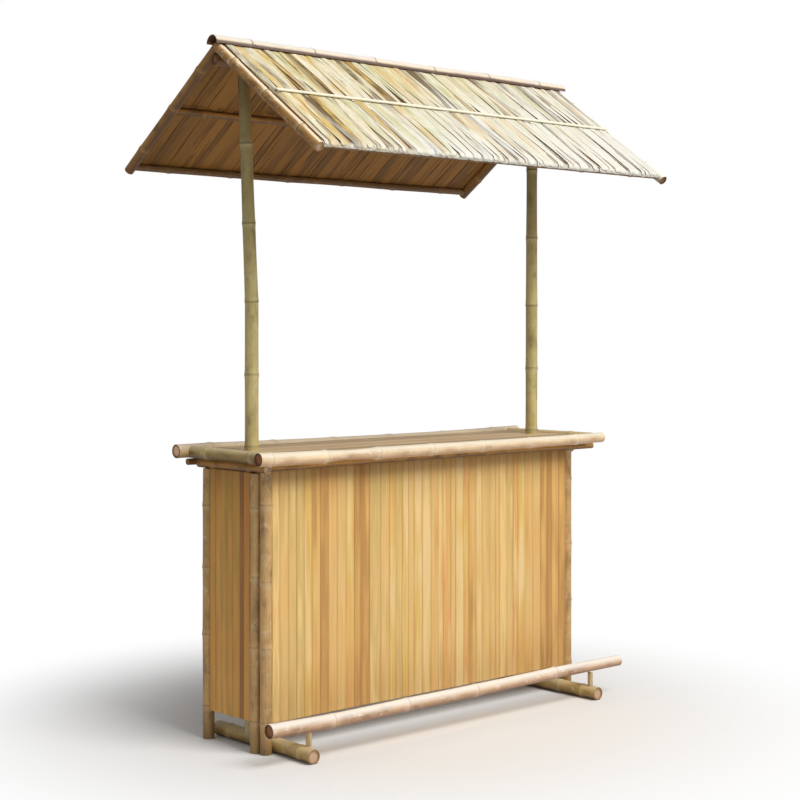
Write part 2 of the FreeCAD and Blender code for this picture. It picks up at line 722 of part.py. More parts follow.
def build_rafters():
    """Four rafters, mitred on each other over the ridge pole; returns their seats."""
    start_back = RAFTER_RADIUS * math.tan(SLOPE)
    halfway = RAFTER_LENGTH / 2
    eave = RAFTER_LENGTH - size("eave_pole_inset")
    head = size("head_pole_distance")
    internode = size("rafter_internode")
    rings = ring_places(start_back + head, start_back + halfway, internode)
    rings += ring_places(start_back + halfway, start_back + eave, internode)
    length = f"{RAFTER_LENGTH + start_back}"
    seats = {}
    for slope, facing in SLOPES:
        seats[slope] = []
        for side, sign in SIDES:
            name = f"{slope}_{side}_rafter"
            x = sign * RAFTER_X
            start = on_slope(facing, x, -start_back, 0)
            end = on_slope(facing, x, RAFTER_LENGTH, 0)
            seat_width = "[rafter_diameter] + 2 * [clearance]"
            seats[slope].append(cylinder(f"{name}_seat", seat_width, length, start, down_slope(facing)))
            reach = CUT_REACH * size("rafter_diameter")
            corner_y = -CLEAR / 2 if facing < 0 else CLEAR / 2 - reach
            mitre = box(
                f"{name}_mitre",
                Vector(x - size("rafter_diameter"), corner_y, size("apex_height") - reach),
                Rotation(),
                Length="2 * [rafter_diameter]",
                Width=f"{CUT_REACH} * [rafter_diameter]",
                Height=f"{2 * CUT_REACH} * [rafter_diameter]",
            )
            bore = end_bore(f"{name}_bore", "[rafter_diameter]", end, -down_slope(facing))
            pole(name, "[rafter_diameter]", length, start, down_slope(facing), rings, [mitre, bore])
    return seats


def build_cross_poles(seats):
    """Head pole, purlin and eave pole of each slope, scribed to its two rafters."""
    places = (
        ("head_pole", size("head_pole_distance")),
        ("purlin", RAFTER_LENGTH / 2),
        ("eave_pole", RAFTER_LENGTH - size("eave_pole_inset")),
    )
    for slope, facing in SLOPES:
        for name, along in places:
            start = on_slope(facing, -RAFTER_X, along, 0)
            length = f"{2 * RAFTER_X}"
            pole(f"{slope}_{name}", "[purlin_diameter]", length, start, ALONG_X, tools=seats[slope])


def slope_lath(name, facing, x, begin, finish, floor, **formulas):
    """Flat lath on a slope, from one distance below the apex to another."""
    # a lath's own Y axis runs up the front slope and down the back one
    corner = on_slope(facing, x, finish if facing < 0 else begin, floor)
    return box(name, corner, Rotation(ALONG_X, math.degrees(-facing * SLOPE)), **formulas)


def build_leaf_course(slope, facing, course, begin, finish, ragged):
    """One course of long leaves in two layers, the upper layer over the gaps of the lower one."""
    leaves = []
    leaf_count = count("leaf_count")
    pitch = 2 * THATCH_X / leaf_count
    for layer in (0, 1):
        floor = THATCH_FLOOR + layer * (size("leaf_thickness") + CLEAR)
        for number in range(leaf_count - layer):
            x = -THATCH_X + pitch * (number + layer / 2) + size("leaf_gap") / 2
            tip = finish + ragged * math.sin(TIP_WAVE * number + layer)
            leaves.append(
                slope_lath(
                    f"{slope}_{course}_leaf_{layer}_{number + 1}",
                    facing,
                    x,
                    begin,
                    tip,
                    floor,
                    Length=f"{pitch} - [leaf_gap]",
                    Width=f"{tip - begin}",
                    Height="[leaf_thickness]",
                )
            )
    group(f"{slope}_{course}_thatch", leaves)


def build_thatch():
    """Two courses of leaves on each slope, and the lath that holds them down where they meet."""
    halfway = RAFTER_LENGTH / 2
    ridge_end = -size("thatch_ridge_lap")
    eave_end = RAFTER_LENGTH - size("thatch_eave_overhang")
    lath_half = size("top_batten_width") / 2
    lath_x = RAFTER_X - size("top_batten_inset")
    for slope, facing in SLOPES:
        build_leaf_course(slope, facing, "upper", ridge_end, halfway - CLEAR / 2, 0)
        build_leaf_course(slope, facing, "lower", halfway + CLEAR / 2, eave_end, size("leaf_ragged"))
        lath = slope_lath(
            f"{slope}_top_batten_lath",
            facing,
            -lath_x,
            halfway - lath_half,
            halfway + lath_half,
            THATCH_TOP + CLEAR,
            Length=f"{2 * lath_x}",
            Width="[top_batten_width]",
            Height="[top_batten_thickness]",
        )
        keep(f"{slope}_top_batten", lath)


def build_ridge_cap():
    """Half of a split bamboo over the ridge, resting on both slopes' leaves."""
    body = doc.addObject("PartDesign::Body", "ridge_cap_body")
    sketch = body.newObject("Sketcher::SketchObject", "ridge_cap_section")
    planes = [feature for feature in body.Origin.OriginFeatures if feature.Role == "YZ_Plane"]
    sketch.AttachmentSupport = [(planes[0], "")]
    sketch.MapMode = "FlatFace"
    outer = size("ridge_cap_diameter") / 2
    inner = outer - size("culm_wall")
    middle = Vector(0, 0, 0)
    outside = sketch.addGeometry(Part.ArcOfCircle(Part.Circle(middle, ALONG_Z, outer), 0, math.pi))
    inside = sketch.addGeometry(Part.ArcOfCircle(Part.Circle(middle, ALONG_Z, inner), 0, math.pi))
    right = sketch.addGeometry(Part.LineSegment(Vector(inner, 0, 0), Vector(outer, 0, 0)))
    left = sketch.addGeometry(Part.LineSegment(Vector(-outer, 0, 0), Vector(-inner, 0, 0)))
    start, end, centre, origin, x_axis = 1, 2, 3, -1, -1
    sketch.addConstraint(Sketcher.Constraint("Coincident", outside, centre, origin, start))
    sketch.addConstraint(Sketcher.Constraint("Coincident", inside, centre, origin, start))
    sketch.addConstraint(Sketcher.Constraint("Coincident", right, start, inside, start))
    sketch.addConstraint(Sketcher.Constraint("Coincident", right, end, outside, start))
    sketch.addConstraint(Sketcher.Constraint("Coincident", left, start, outside, end))
    sketch.addConstraint(Sketcher.Constraint("Coincident", left, end, inside, end))
    for line, point in ((right, end), (left, start), (right, start), (left, end)):
        sketch.addConstraint(Sketcher.Constraint("PointOnObject", line, point, x_axis))
    outer_radius = sketch.addConstraint(Sketcher.Constraint("Radius", outside, outer))
    inner_radius = sketch.addConstraint(Sketcher.Constraint("Radius", inside, inner))
    sketch.renameConstraint(outer_radius, "outer_radius")
    sketch.renameConstraint(inner_radius, "inner_radius")
    sketch.setExpression("Constraints.outer_radius", "Sizes.ridge_cap_diameter / 2")
    sketch.setExpression("Constraints.inner_radius", "Sizes.ridge_cap_diameter / 2 - Sizes.culm_wall")
    end_x = RAFTER_X + RAFTER_RADIUS + size("ridge_cap_overhang")
    pad = body.newObject("PartDesign::Pad", "ridge_cap_pad")
    pad.Profile = sketch
    bind(pad, Length=f"{2 * end_x}")
    thatch_apex = APEX.z + THATCH_TOP / math.cos(SLOPE)
    foot_z = thatch_apex - inner * math.tan(SLOPE) + CLEAR
    body.Placement = Placement(Vector(-end_x, 0, foot_z), Rotation())
    keep("ridge_cap", body)


def failures():
    """Everything in the document that didn't come out as a sound shape."""
    faults = []
    for piece in doc.Objects:
        if "Invalid" in piece.State or "Error" in piece.State:
            faults.append(f"{piece.Label}: {piece.State}")
    for piece in subparts:
        if piece.Shape.isNull() or not piece.Shape.isValid() or piece.Shape.Volume <= 0:
            faults.append(f"{piece.Label}: unsound shape")
    if len({piece.Label for piece in subparts}) != len(subparts):
        faults.append("two sub-parts share a label")
    return faults


corner_holes = build_corner_pegs()
skid_holes = build_skid_pegs()
ridge_holes = build_ridge_pegs()
build_panel_posts(corner_holes, skid_holes)
build_front_rails()
build_side_rails()
build_front_slats()
build_side_slats()
build_counter_supports()
build_rims()
build_counter_top()
build_base(skid_holes, ridge_holes)
build_ridge_pole(ridge_holes)
build_cross_poles(build_rafters())
build_thatch()
build_ridge_cap()
doc.recompute()

faults = failures()
if faults:
    raise RuntimeError("; ".join(faults))

os.makedirs("parts", exist_ok=True)
for piece in subparts:
    piece.Shape.exportStep(f"parts/{piece.Label}.step")
    print(piece.Label, len(piece.Shape.Solids), "solids", round(piece.Shape.Volume / 1000), "cm3")
print(len(subparts), "sub-parts")
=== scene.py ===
import math
import random

import bmesh
import bpy
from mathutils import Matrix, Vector


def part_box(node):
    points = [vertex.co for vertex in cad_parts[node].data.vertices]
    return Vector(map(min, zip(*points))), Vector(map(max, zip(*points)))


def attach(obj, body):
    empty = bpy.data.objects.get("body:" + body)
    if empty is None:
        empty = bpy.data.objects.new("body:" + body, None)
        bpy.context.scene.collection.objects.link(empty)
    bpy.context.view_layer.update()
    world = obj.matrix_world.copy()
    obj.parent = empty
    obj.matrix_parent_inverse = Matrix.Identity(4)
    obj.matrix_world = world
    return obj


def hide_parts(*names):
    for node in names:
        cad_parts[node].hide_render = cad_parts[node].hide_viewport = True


bl_info = {
    "name": "Bamboo Bar Dressing",
    "version": (1, 0, 0),
    "blender": (4, 5, 0),
    "location": "View3D > Sidebar > Bamboo Bar",
    "description": "Dresses a bamboo bar counter with culms, slats and leaf thatch",
    "category": "Object",
}

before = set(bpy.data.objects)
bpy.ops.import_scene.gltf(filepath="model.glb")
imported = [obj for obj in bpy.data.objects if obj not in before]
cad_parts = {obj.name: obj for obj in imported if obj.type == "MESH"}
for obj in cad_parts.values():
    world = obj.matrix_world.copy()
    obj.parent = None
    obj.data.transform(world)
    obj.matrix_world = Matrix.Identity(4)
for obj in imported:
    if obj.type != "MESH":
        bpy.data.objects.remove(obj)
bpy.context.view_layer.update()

MM = 0.001
ALONG_X = Vector((1, 0, 0))
ALONG_Y = Vector((0, 1, 0))
ALONG_Z = Vector((0, 0, 1))
SIDES = {"left": -1, "right": 1}
FACINGS = {"front": -1, "back": 1}


def linear(hex_colour):
    """Linear colour of an sRGB hex value such as d8b888."""
    channels = []
    for place in (0, 2, 4):
        level = int(hex_colour[place:place + 2], 16) / 255
        channels.append(level / 12.92 if level <= 0.04045 else ((level + 0.055) / 1.055) ** 2.4)
    return tuple(channels)


def middle(node):
    """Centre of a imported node's box."""
    low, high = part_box(node)
    return (low + high) / 2


# Roof planes, read from the poles that lie in them
DOWN = {}
OUT = {}
for facing, sign in FACINGS.items():
    DOWN[facing] = (middle(f"{facing}_eave_pole") - middle(f"{facing}_head_pole")).normalized()
    OUT[facing] = Vector((0, -DOWN[facing].z * sign, abs(DOWN[facing].y)))
HEAD_POLE = middle("front_head_pole")
APEX = HEAD_POLE - DOWN["front"] * (HEAD_POLE.y / DOWN["front"].y)
EAVE_ALONG = (middle("front_eave_pole") - APEX).length
POLE_RADIUS = (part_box("back_stretcher")[1].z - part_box("back_stretcher")[0].z) / 2
COUNTER_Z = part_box("counter_top_slats")[1].z
# A culm is grown this much thinner than its packed pole, which leaves room for the nodes' ridges
RIDGE_ROOM = 1.5 * MM


class CulmSettings(bpy.types.PropertyGroup):
    """Shape and colours of the bamboo culms."""

    node_bulge: bpy.props.FloatProperty(
        name="Node bulge", description="How far a node's ridge stands out of the culm",
        default=2.0 * MM, min=0.0, unit="LENGTH")
    wall: bpy.props.FloatProperty(
        name="Wall", description="Thickness of the culm's wall at an open end",
        default=6.0 * MM, min=0.001, unit="LENGTH")
    bore: bpy.props.FloatProperty(
        name="Open end", description="Depth of an open end down to the first inner wall",
        default=5.0 * MM, min=0.0, unit="LENGTH")
    crook: bpy.props.FloatProperty(
        name="Crook", description="How far a metre of culm strays from a straight line",
        default=2.2 * MM, min=0.0, unit="LENGTH")
    sides: bpy.props.IntProperty(
        name="Sides", description="Points round a culm", default=28, min=8)
    tan: bpy.props.FloatVectorProperty(
        name="Tan culm", description="Front rim, footrest and ridge cap",
        default=linear("dfc29a"), subtype="COLOR")
    brown: bpy.props.FloatVectorProperty(
        name="Brown culm", description="Posts and rails of the panels, and the back rim",
        default=linear("c8a066"), subtype="COLOR")
    olive: bpy.props.FloatVectorProperty(
        name="Olive culm", description="Roof posts", default=linear("c6b57a"), subtype="COLOR")
    mossy: bpy.props.FloatVectorProperty(
        name="Mossy culm", description="Side rims and skids",
        default=linear("b4934e"), subtype="COLOR")
    amber: bpy.props.FloatVectorProperty(
        name="Amber culm", description="Bearers, purlins, back rafters and front support pole",
        default=linear("ba863e"), subtype="COLOR")
    smoked: bpy.props.FloatVectorProperty(
        name="Smoked culm", description="Ridge pole, head poles, eave poles and back support pole",
        default=linear("7c5830"), subtype="COLOR")
    # the pale culm's cream top is painted highlight
    pale: bpy.props.FloatVectorProperty(
        name="Pale culm", description="Front left rafter, brown with a top that the sun bleached",
        default=linear("b08444"), subtype="COLOR")
    dry: bpy.props.FloatVectorProperty(
        name="Dry culm", description="Front right rafter",
        default=linear("d8cdb4"), subtype="COLOR")


class SlatSettings(bpy.types.PropertyGroup):
    """Slats of the panels and of the counter top."""

    gap: bpy.props.FloatProperty(
        name="Gap", description="Mean gap between two slats", default=0.35 * MM, unit="LENGTH")
    round: bpy.props.FloatProperty(
        name="Rounding", description="Radius of a slat's long edges", default=1.0 * MM, unit="LENGTH")
    spread: bpy.props.FloatProperty(
        name="Width spread", description="How much slat widths differ", default=0.42, min=0.0, max=0.8)
    honey: bpy.props.FloatVectorProperty(
        name="Honey", description="Main colour of the panel slats",
        default=linear("ddb571"), subtype="COLOR")
    amber: bpy.props.FloatVectorProperty(
        name="Amber", description="Main colour of the side slats",
        default=linear("d89c42"), subtype="COLOR")


class LeafSettings(bpy.types.PropertyGroup):
    """Dried leaf strips of the thatch."""

    width: bpy.props.FloatProperty(
        name="Width", description="Mean width of a leaf strip", default=60.0 * MM, unit="LENGTH")
    thickness: bpy.props.FloatProperty(
        name="Thickness", description="Thickness of a leaf strip", default=1.0 * MM, unit="LENGTH")
    straw: bpy.props.FloatVectorProperty(
        name="Straw", description="Weathered upper side", default=linear("d8cfaa"), subtype="COLOR")
    under: bpy.props.FloatVectorProperty(
        name="Underside", description="Shaded lower side", default=linear("895d1e"), subtype="COLOR")


class Blank:
    """A piece in the making: points, faces and what its materials read at each point."""

    def __init__(self, seed):
        self.points = []
        self.faces = []
        self.finishes = []
        self.grain = []
        self.marks = []
        self.tones = []
        self.dice = random.Random(seed)
        self.fresh()

    def fresh(self):
        """Begin another stick of material: its own grain and its own tone."""
        self.shift = Vector([self.dice.uniform(0, 40) for axis in range(3)])
        self.tone = self.dice.random()

    def add(self, point, grain, mark=(0, 0, 0)):
        """One point; grain is its place in the straightened stick, in metres."""
        self.points.append(point)
        self.grain.append(Vector(grain) + self.shift)
        self.marks.append(mark)
        self.tones.append(self.tone)
        return len(self.points) - 1

    def face(self, corners, finish=0):
        """One face; finish is the place of its material in the piece's list."""
        self.faces.append(corners)
        self.finishes.append(finish)

    def skin(self, rings, closed=True, finish=0):
        """Quads between rings of points; with closed, each ring meets itself."""
        for lower, upper in zip(rings, rings[1:]):
            count = len(lower)
            for spot in range(count if closed else count - 1):
                after = (spot + 1) % count
                self.face((lower[spot], lower[after], upper[after], upper[spot]), finish)

    def lay(self, name, materials, nodes, crease=38):
        """Make the object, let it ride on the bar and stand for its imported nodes."""
        mesh = bpy.data.meshes.new(name)
        mesh.from_pydata(self.points, [], self.faces)
        for store, kind, values in (
            ("grain", "FLOAT_VECTOR", self.grain),
            ("mark", "FLOAT_VECTOR", self.marks),
        ):
            layer = mesh.attributes.new(store, kind, "POINT")
            layer.data.foreach_set("vector", [part for value in values for part in value])
        layer = mesh.attributes.new("tone", "FLOAT", "POINT")
        layer.data.foreach_set("value", self.tones)
        for material in materials:
            mesh.materials.append(material)
        mesh.polygons.foreach_set("material_index", self.finishes)
        sculpt = bmesh.new()
        sculpt.from_mesh(mesh)
        bmesh.ops.recalc_face_normals(sculpt, faces=sculpt.faces)
        sculpt.to_mesh(mesh)
        sculpt.free()
        mesh.shade_smooth()
        mesh.set_sharp_from_angle(angle=math.radians(crease))
        mesh.update()
        piece = bpy.data.objects.new(name, mesh)
        bpy.context.scene.collection.objects.link(piece)
        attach(piece, "root")
        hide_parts(*nodes)
        return piece


# Bamboo culms

# Stations round a node, as distances in millimetres along the culm from its scar,
# with the ridge's height there as a share of the bulge, and the dark and the waxy share
NODE_STATIONS = (
    (-26, 0.00, 0.0, 0.0),
    (-15, 0.10, 0.0, 0.5),
    (-7, 0.35, 0.0, 1.0),
    (-2.5, 0.95, 0.1, 0.8),
    (0, 1.00, 0.9, 0.0),
    (2.2, 0.30, 1.0, 0.0),
    (4.5, 0.62, 0.3, 0.2),
    (8, 0.55, 0.0, 0.4),
    (14, 0.15, 0.0, 0.2),
    (24, 0.00, 0.0, 0.0),
)
PLAIN_STEP = 45 * MM
END_BEVEL = 0.8 * MM
# Between its nodes a culm is thinner by up to this much, which it reaches this far from a node
WAIST = 0.5 * MM
WAIST_REACH = 90 * MM
# A culm bends only at nodes that lie at least this far from its ends
MOUTH_CLEAR = 30 * MM
# A split culm gets painted shade along its feet, fading between two angles in radians from them
FOOT_SHADE_FROM = 0.24
FOOT_SHADE_TO = 0.34


def node_places(length, spacing, first=None):
    """Even places of nodes along a culm; first fixes the nearest one to its start."""
    if first is None:
        rows = max(1, round(length / spacing))
        return [length * (row + 0.5) / rows for row in range(rows)]
    return [first + spacing * row for row in range(int((length - first) / spacing) + 1)]


def culm_stations(length, nodes):
    """Distances along a culm with the share of ridge, scar and wax at each."""
    found = {END_BEVEL: (0, 0, 0), length - END_BEVEL: (0, 0, 0)}
    for node in nodes:
        for offset, ridge, scar, wax in NODE_STATIONS:
            along = node + offset * MM
            if 2 * END_BEVEL < along < length - 2 * END_BEVEL:
                found[along] = (ridge, scar, wax)
    stops = sorted(found)
    for before, after in zip(stops, stops[1:]):
        steps = int((after - before) / PLAIN_STEP)
        for step in range(1, steps + 1):
            found[before + (after - before) * step / (steps + 1)] = (0, 0, 0)
    return [(along, found[along]) for along in sorted(found)]


def crook_line(blank, length, nodes, crook, bends=()):
    """Sideways offsets of a culm at its ends and nodes, straight in between; bends sets some of them."""
    knots = [0.0] + [node for node in nodes if MOUTH_CLEAR < node < length - MOUTH_CLEAR] + [length]
    reach = crook * max(0.3, length)
    offsets = []
    for knot in knots:
        inner = max(0.0, math.sin(math.pi * knot / length)) ** 0.6
        offsets.append([blank.dice.uniform(-reach, reach) * inner for axis in (0, 1)])
    for along, across, up in bends:
        nearest = min(range(len(knots)), key=lambda place: abs(knots[place] - along))
        offsets[nearest] = [across, up]

    def at(along):
        for number in range(len(knots) - 1):
            if along <= knots[number + 1] or number == len(knots) - 2:
                share = (along - knots[number]) / (knots[number + 1] - knots[number])
                first, second = offsets[number], offsets[number + 1]
                return [one + (two - one) * share for one, two in zip(first, second)]

    return at


def cross_axes(direction):
    """Two axes square to a culm: the first lies level, the second points up if it can."""
    flat = direction.cross(ALONG_Z)
    first = flat.normalized() if flat.length > 1e-3 else ALONG_X.copy()
    return first, first.cross(direction).normalized()


def grow_culm(blank, start, end, radius, nodes, crook=None, bends=(), taper=0.0, floor=None, arc=1.0,
              loose=14 * MM, waist=None):
    """A hollow culm from start to end with its nodes, open at both ends; arc 0.5 is a split one.

    A waist is the stretch between two distances that is thinner by a share, and how far it lifts.
    bends are distances with their offsets sideways and up, and floor is a height it is cut flat at.
    """
    look = bpy.context.scene.culm_look
    blank.fresh()
    whole = arc == 1.0
    nodes = [node + blank.dice.uniform(-loose, loose) for node in nodes]
    axis = end - start
    length = axis.length
    direction = axis / length
    first, second = cross_axes(direction)
    offset_at = crook_line(blank, length, nodes, look.crook if crook is None else crook, bends)
    oval = blank.dice.uniform(0.004, 0.016)
    turn = blank.dice.uniform(0, math.tau)
    sides = look.sides if whole else look.sides // 2 + 1
    shades = [blank.dice.random() for number in range(len(nodes) + 1)]

    def pinch(along):
        if not waist or not waist[0] < along < waist[1]:
            return 0.0
        share = (along - waist[0]) / (waist[1] - waist[0])
        return max(0.0, math.sin(math.pi * share ** 0.85)) ** 0.6

    def place(along, reach, angle):
        across, up = offset_at(along)
        if waist:
            up += waist[3] * pinch(along)
            reach *= 1 - waist[2] * pinch(along)
        centre = start + direction * along + first * across + second * up
        point = centre + (first * math.cos(angle) + second * math.sin(angle)) * reach
        if floor is not None and point.z < floor:
            point.z = floor
        return point

    def ring(along, reach, mark):
        spots = []
        for side in range(sides):
            angle = math.tau * arc * side / (sides if whole else sides - 1)
            grain = (radius * math.cos(angle), radius * math.sin(angle), along)
            # a split culm's feet get painted shade, carried in the scar mark
            from_foot = FOOT_SHADE_TO if whole else min(angle, math.pi - angle)
            foot = (FOOT_SHADE_TO - from_foot) / (FOOT_SHADE_TO - FOOT_SHADE_FROM)
            stained = (max(mark[0], min(1.0, foot)), mark[1], mark[2])
            out_of_round = 1 + oval * math.cos(2 * angle + turn)
            spots.append(blank.add(place(along, reach * out_of_round, angle), grain, stained))
        return spots

    skins = []
    for along, (ridge, scar, wax) in culm_stations(length, nodes):
        passed = sum(1 for node in nodes if node < along)
        shade = shades[passed]
        ahead = min([abs(along - node) for node in nodes] + [WAIST_REACH])
        thin = WAIST * ahead / WAIST_REACH
        reach = radius * (1 - taper * along / length) + look.node_bulge * ridge - thin
        skins.append(ring(along, reach, (scar, wax, shade)))
    # both mouths keep the last ring's waist
    inner = radius - look.wall
    mouths = []
    for along, inwards in ((0.0, 1), (length, -1)):
        rim = ring(along, radius * (1 - taper * along / length) - thin - END_BEVEL, (0, 0, 0.5))
        lip = ring(along, inner, (0, 0, 0.5))
        depth = along + inwards * look.bore
        mouths.append((rim, lip, ring(depth, inner, (1, 0, 0.2)), depth))
    (rim_a, lip_a, deep_a, depth_a), (rim_b, lip_b, deep_b, depth_b) = mouths
    blank.skin([rim_a] + skins + [rim_b], whole)
    walls = [(lip_a, rim_a), (rim_b, lip_b)]
    walls += [(deep_a, lip_a), (lip_b, deep_b)] if whole else [(lip_b, lip_a)]
    for wall in walls:
        blank.skin(wall, whole, 1)
    if whole:
        for deep, depth, order in ((deep_a, depth_a, 1), (deep_b, depth_b, -1)):
            hub = blank.add(place(depth, 0, 0), (0, 0, depth), (1, 0, 0.8))
            for side in range(sides):
                after = (side + 1) % sides
                blank.face((hub, deep[after], deep[side])[::order], 1)
        return
    outer_low = [rim_a[0]] + [spots[0] for spots in skins] + [rim_b[0]]
    outer_high = [rim_a[-1]] + [spots[-1] for spots in skins] + [rim_b[-1]]
    blank.face([lip_a[0], lip_b[0]] + outer_low[::-1], 1)
    blank.face(outer_high + [lip_b[-1], lip_a[-1]], 1)


def culm_piece(node, spans, finish, seed, ends=None, name=None):
    """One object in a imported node's place; each span is a dictionary for grow_culm."""
    blank = Blank(seed)
    for span in spans:
        grow_culm(blank, **span)
    return blank.lay(name or f"{node}_culm", [finish, ends or end_grain()], [node])


def pole_along(node, direction, spacing, thinner=RIDGE_ROOM, **more):
    """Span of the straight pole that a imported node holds, read from its box."""
    low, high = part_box(node)
    centre = (low + high) / 2
    size = high - low
    half = direction * (abs(size.dot(direction)) / 2)
    across = [size[axis] for axis in range(3) if abs(direction[axis]) < 0.5]
    return {"start": centre - half, "end": centre + half, "radius": min(across) / 2 - thinner,
            "nodes": node_places(2 * half.length, spacing), **more}


def let_sag(span, places, drops):
    """Let a span hang lower at some places along it, by drops in millimetres."""
    span["bends"] = [(along, 0.0, -drop * MM) for along, drop in zip(places, drops)]


# Slats

def share_out(dice, count, spread):
    """Uneven shares of one whole."""
    parts = [1 + dice.uniform(-spread, spread) for number in range(count)]
    whole = sum(parts)
    return [part / whole for part in parts]


SLAT_STATIONS = (0, 0.002, 0.25, 0.5, 0.75, 0.998, 1)
SLAT_CROWN = 0.5 * MM
SLAT_BOW = 0.6 * MM
SLAT_END_BEVEL = 0.6 * MM
# How much the slats of a row differ in thickness
SLAT_PLAY = 0.6 * MM


def grow_slat(blank, corner, across, out, up, width, depth, length, roundness):
    """A slat with rounded long edges and a slightly crowned face; corner is its lowest one."""
    blank.fresh()
    radius = min(roundness, depth / 2.2, width / 2.2)
    outline = []
    for centre_x, centre_y, first_turn in (
        (width - radius, radius, -90),
        (width - radius, depth - radius, 0),
        (radius, depth - radius, 90),
        (radius, radius, 180),
    ):
        for step in (0, 1, 2):
            angle = math.radians(first_turn + 45 * step)
            outline.append((centre_x + radius * math.cos(angle), centre_y + radius * math.sin(angle)))
        if first_turn == 0:
            outline.append((width / 2, depth + SLAT_CROWN))
    lean = blank.dice.uniform(-SLAT_BOW, SLAT_BOW)
    sway = blank.dice.uniform(-SLAT_BOW, SLAT_BOW)
    rings = []
    for share in SLAT_STATIONS:
        belly = math.sin(math.pi * share)
        pinch = SLAT_END_BEVEL if share in (0, 1) else 0
        ring = []
        for x, y in outline:
            place_x = x + sway * belly + (pinch if x < width / 2 else -pinch)
            place_y = y + lean * belly + (pinch if y < depth / 2 else -pinch)
            point = corner + across * place_x + out * place_y + up * (length * share)
            ring.append(blank.add(point, (x, y, length * share), (x / width, share, 0)))
        rings.append(ring)
    blank.skin(rings)
    blank.face(rings[0], 1)
    blank.face(rings[-1], 1)


def slat_row(name, node, across, out, up, count, seed, finish, ragged=1.5 * MM, stretch=0.0, rise=0.0):
    """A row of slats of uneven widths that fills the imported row's box.

    It reaches further by stretch at both sides of the row and by rise at the slats' far ends.
    """
    look = bpy.context.scene.slat_look
    blank = Blank(seed)
    low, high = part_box(node)
    size = high - low
    centre = (low + high) / 2
    span = abs(size.dot(across)) + 2 * stretch
    depth = abs(size.dot(out)) - SLAT_PLAY
    length = abs(size.dot(up))
    origin = centre - across * (span / 2) - out * (abs(size.dot(out)) / 2) - up * (length / 2)
    reach = 0.0
    for share in share_out(blank.dice, count, look.spread):
        width = span * share
        gap = look.gap * blank.dice.uniform(0.5, 1.6)
        back = blank.dice.uniform(0, SLAT_PLAY)
        cut = blank.dice.uniform(0, ragged)
        corner = origin + across * (reach + gap / 2) + out * back + up * cut
        trim = cut + blank.dice.uniform(0, ragged) - rise
        grow_slat(blank, corner, across, out, up, width - gap, depth - back, length - trim, look.round)
        reach += width
    return blank.lay(name, [finish, slat_end()], [node])


# Leaf thatch

LATH_ALONG = (middle("front_top_batten") - APEX).dot(DOWN["front"])
LATH_FLOOR = (middle("front_top_batten") - APEX).dot(OUT["front"]) - 3.2 * MM
LATH_WIDTH = 14 * MM
LATH_THICKNESS = 6 * MM
# The leaves lie flat this far to each side of the lath's middle
LATH_HALF = 9 * MM
# A leaf's edges wander by this share of its width and its face by this height
EDGE_WANDER = 0.05
FACE_WANDER = 0.8 * MM
# The middle of a leaf's tip reaches past its corners by this share of its width
TIP_POINT = 0.08
LEAF_ACROSS = (-1.0, -0.55, 0.0, 0.55, 1.0)
LEAF_STATIONS = (0.0, 0.12, 0.28, 0.45, 0.6, 0.72, 0.82, 0.88, 0.92, 0.945, 0.965, 0.985, 1.0)


def slope_point(facing, x, along, height):
    """A point over a slope; the lath presses it down, and past the eave it wraps round the eave pole."""
    near = 1 - min(1.0, max(0.0, abs(along - LATH_ALONG) - LATH_HALF) / (30 * MM))
    height = min(height, LATH_FLOOR + (1 - near) * 12 * MM)
    crest = APEX + ALONG_X * x + DOWN[facing] * min(along, EAVE_ALONG)
    turn = min(max(0.0, along - EAVE_ALONG) / height, 2.0)
    return crest + DOWN[facing] * (height * math.sin(turn)) + OUT[facing] * (height * math.cos(turn))


def leaf_width(share, taper):
    """Width of a leaf along its length: widest in its upper half, drawn in towards its tip."""
    shoulder = 0.88 + 0.12 * math.sin(math.pi * min(1.0, share * 1.6))
    if share <= 0.35:
        return shoulder
    return shoulder * (1 - taper * ((share - 0.35) / 0.65) ** 1.5)


def grow_leaf(blank, facing, x, begin, finish, heights, width, slant, bow, taper, face, bleach):
    """A dried leaf strip on a roof slope, between two distances below the apex.

    face says how sunlit its upper side is, from 0 for the lining to 1 for the cover, and the bleach
    argument how white it is, from the sun and from painted light towards the right, more so towards its tip.
    """
    look = bpy.context.scene.leaf_look
    blank.fresh()
    dice = blank.dice
    fold = dice.uniform(0.5, 2.4) * MM
    curl = dice.uniform(-1.2, 1.6) * MM
    twist = dice.uniform(-1.8, 1.8) * MM
    wave = dice.uniform(0, math.tau)
    length = finish - begin
    rings = []
    for share in LEAF_STATIONS:
        half = width / 2 * leaf_width(share, taper) * (1 + EDGE_WANDER * math.sin(wave + 9 * share))
        shift = slant * share + bow * math.sin(math.pi * share)
        height = heights[0] + (heights[1] - heights[0]) * share + FACE_WANDER * math.sin(wave + 6 * share)
        past = max(0.0, begin + length * share - EAVE_ALONG)
        lit = max(face, min(0.9, past / (14 * MM)))
        calm = 1 - 0.7 * share ** 4
        white = min(1.0, bleach + 0.45 * share * share)
        top, under = [], []
        for side in LEAF_ACROSS:
            lift = calm * (fold * (1 - abs(side)) + curl * side * side * share + twist * side * share)
            tuck = TIP_POINT * width * side * side if share == 1.0 else 0.0
            along = begin + length * share - tuck
            spot = (side * half, lift, length * share)
            point = slope_point(facing, x + shift + side * half, along, height + lift)
            back = slope_point(facing, x + shift + side * half, along, height + lift - look.thickness)
            top.append(blank.add(point, spot, (share, lit, white)))
            under.append(blank.add(back, spot, (share, lit if share == 1.0 else -1, white)))
        rings.append(top + under[::-1])
    blank.skin(rings)
    count = len(LEAF_ACROSS)
    for ring in (rings[0], rings[-1]):
        for spot in range(count - 1):
            blank.face((ring[spot], ring[spot + 1], ring[2 * count - 2 - spot], ring[2 * count - 1 - spot]))


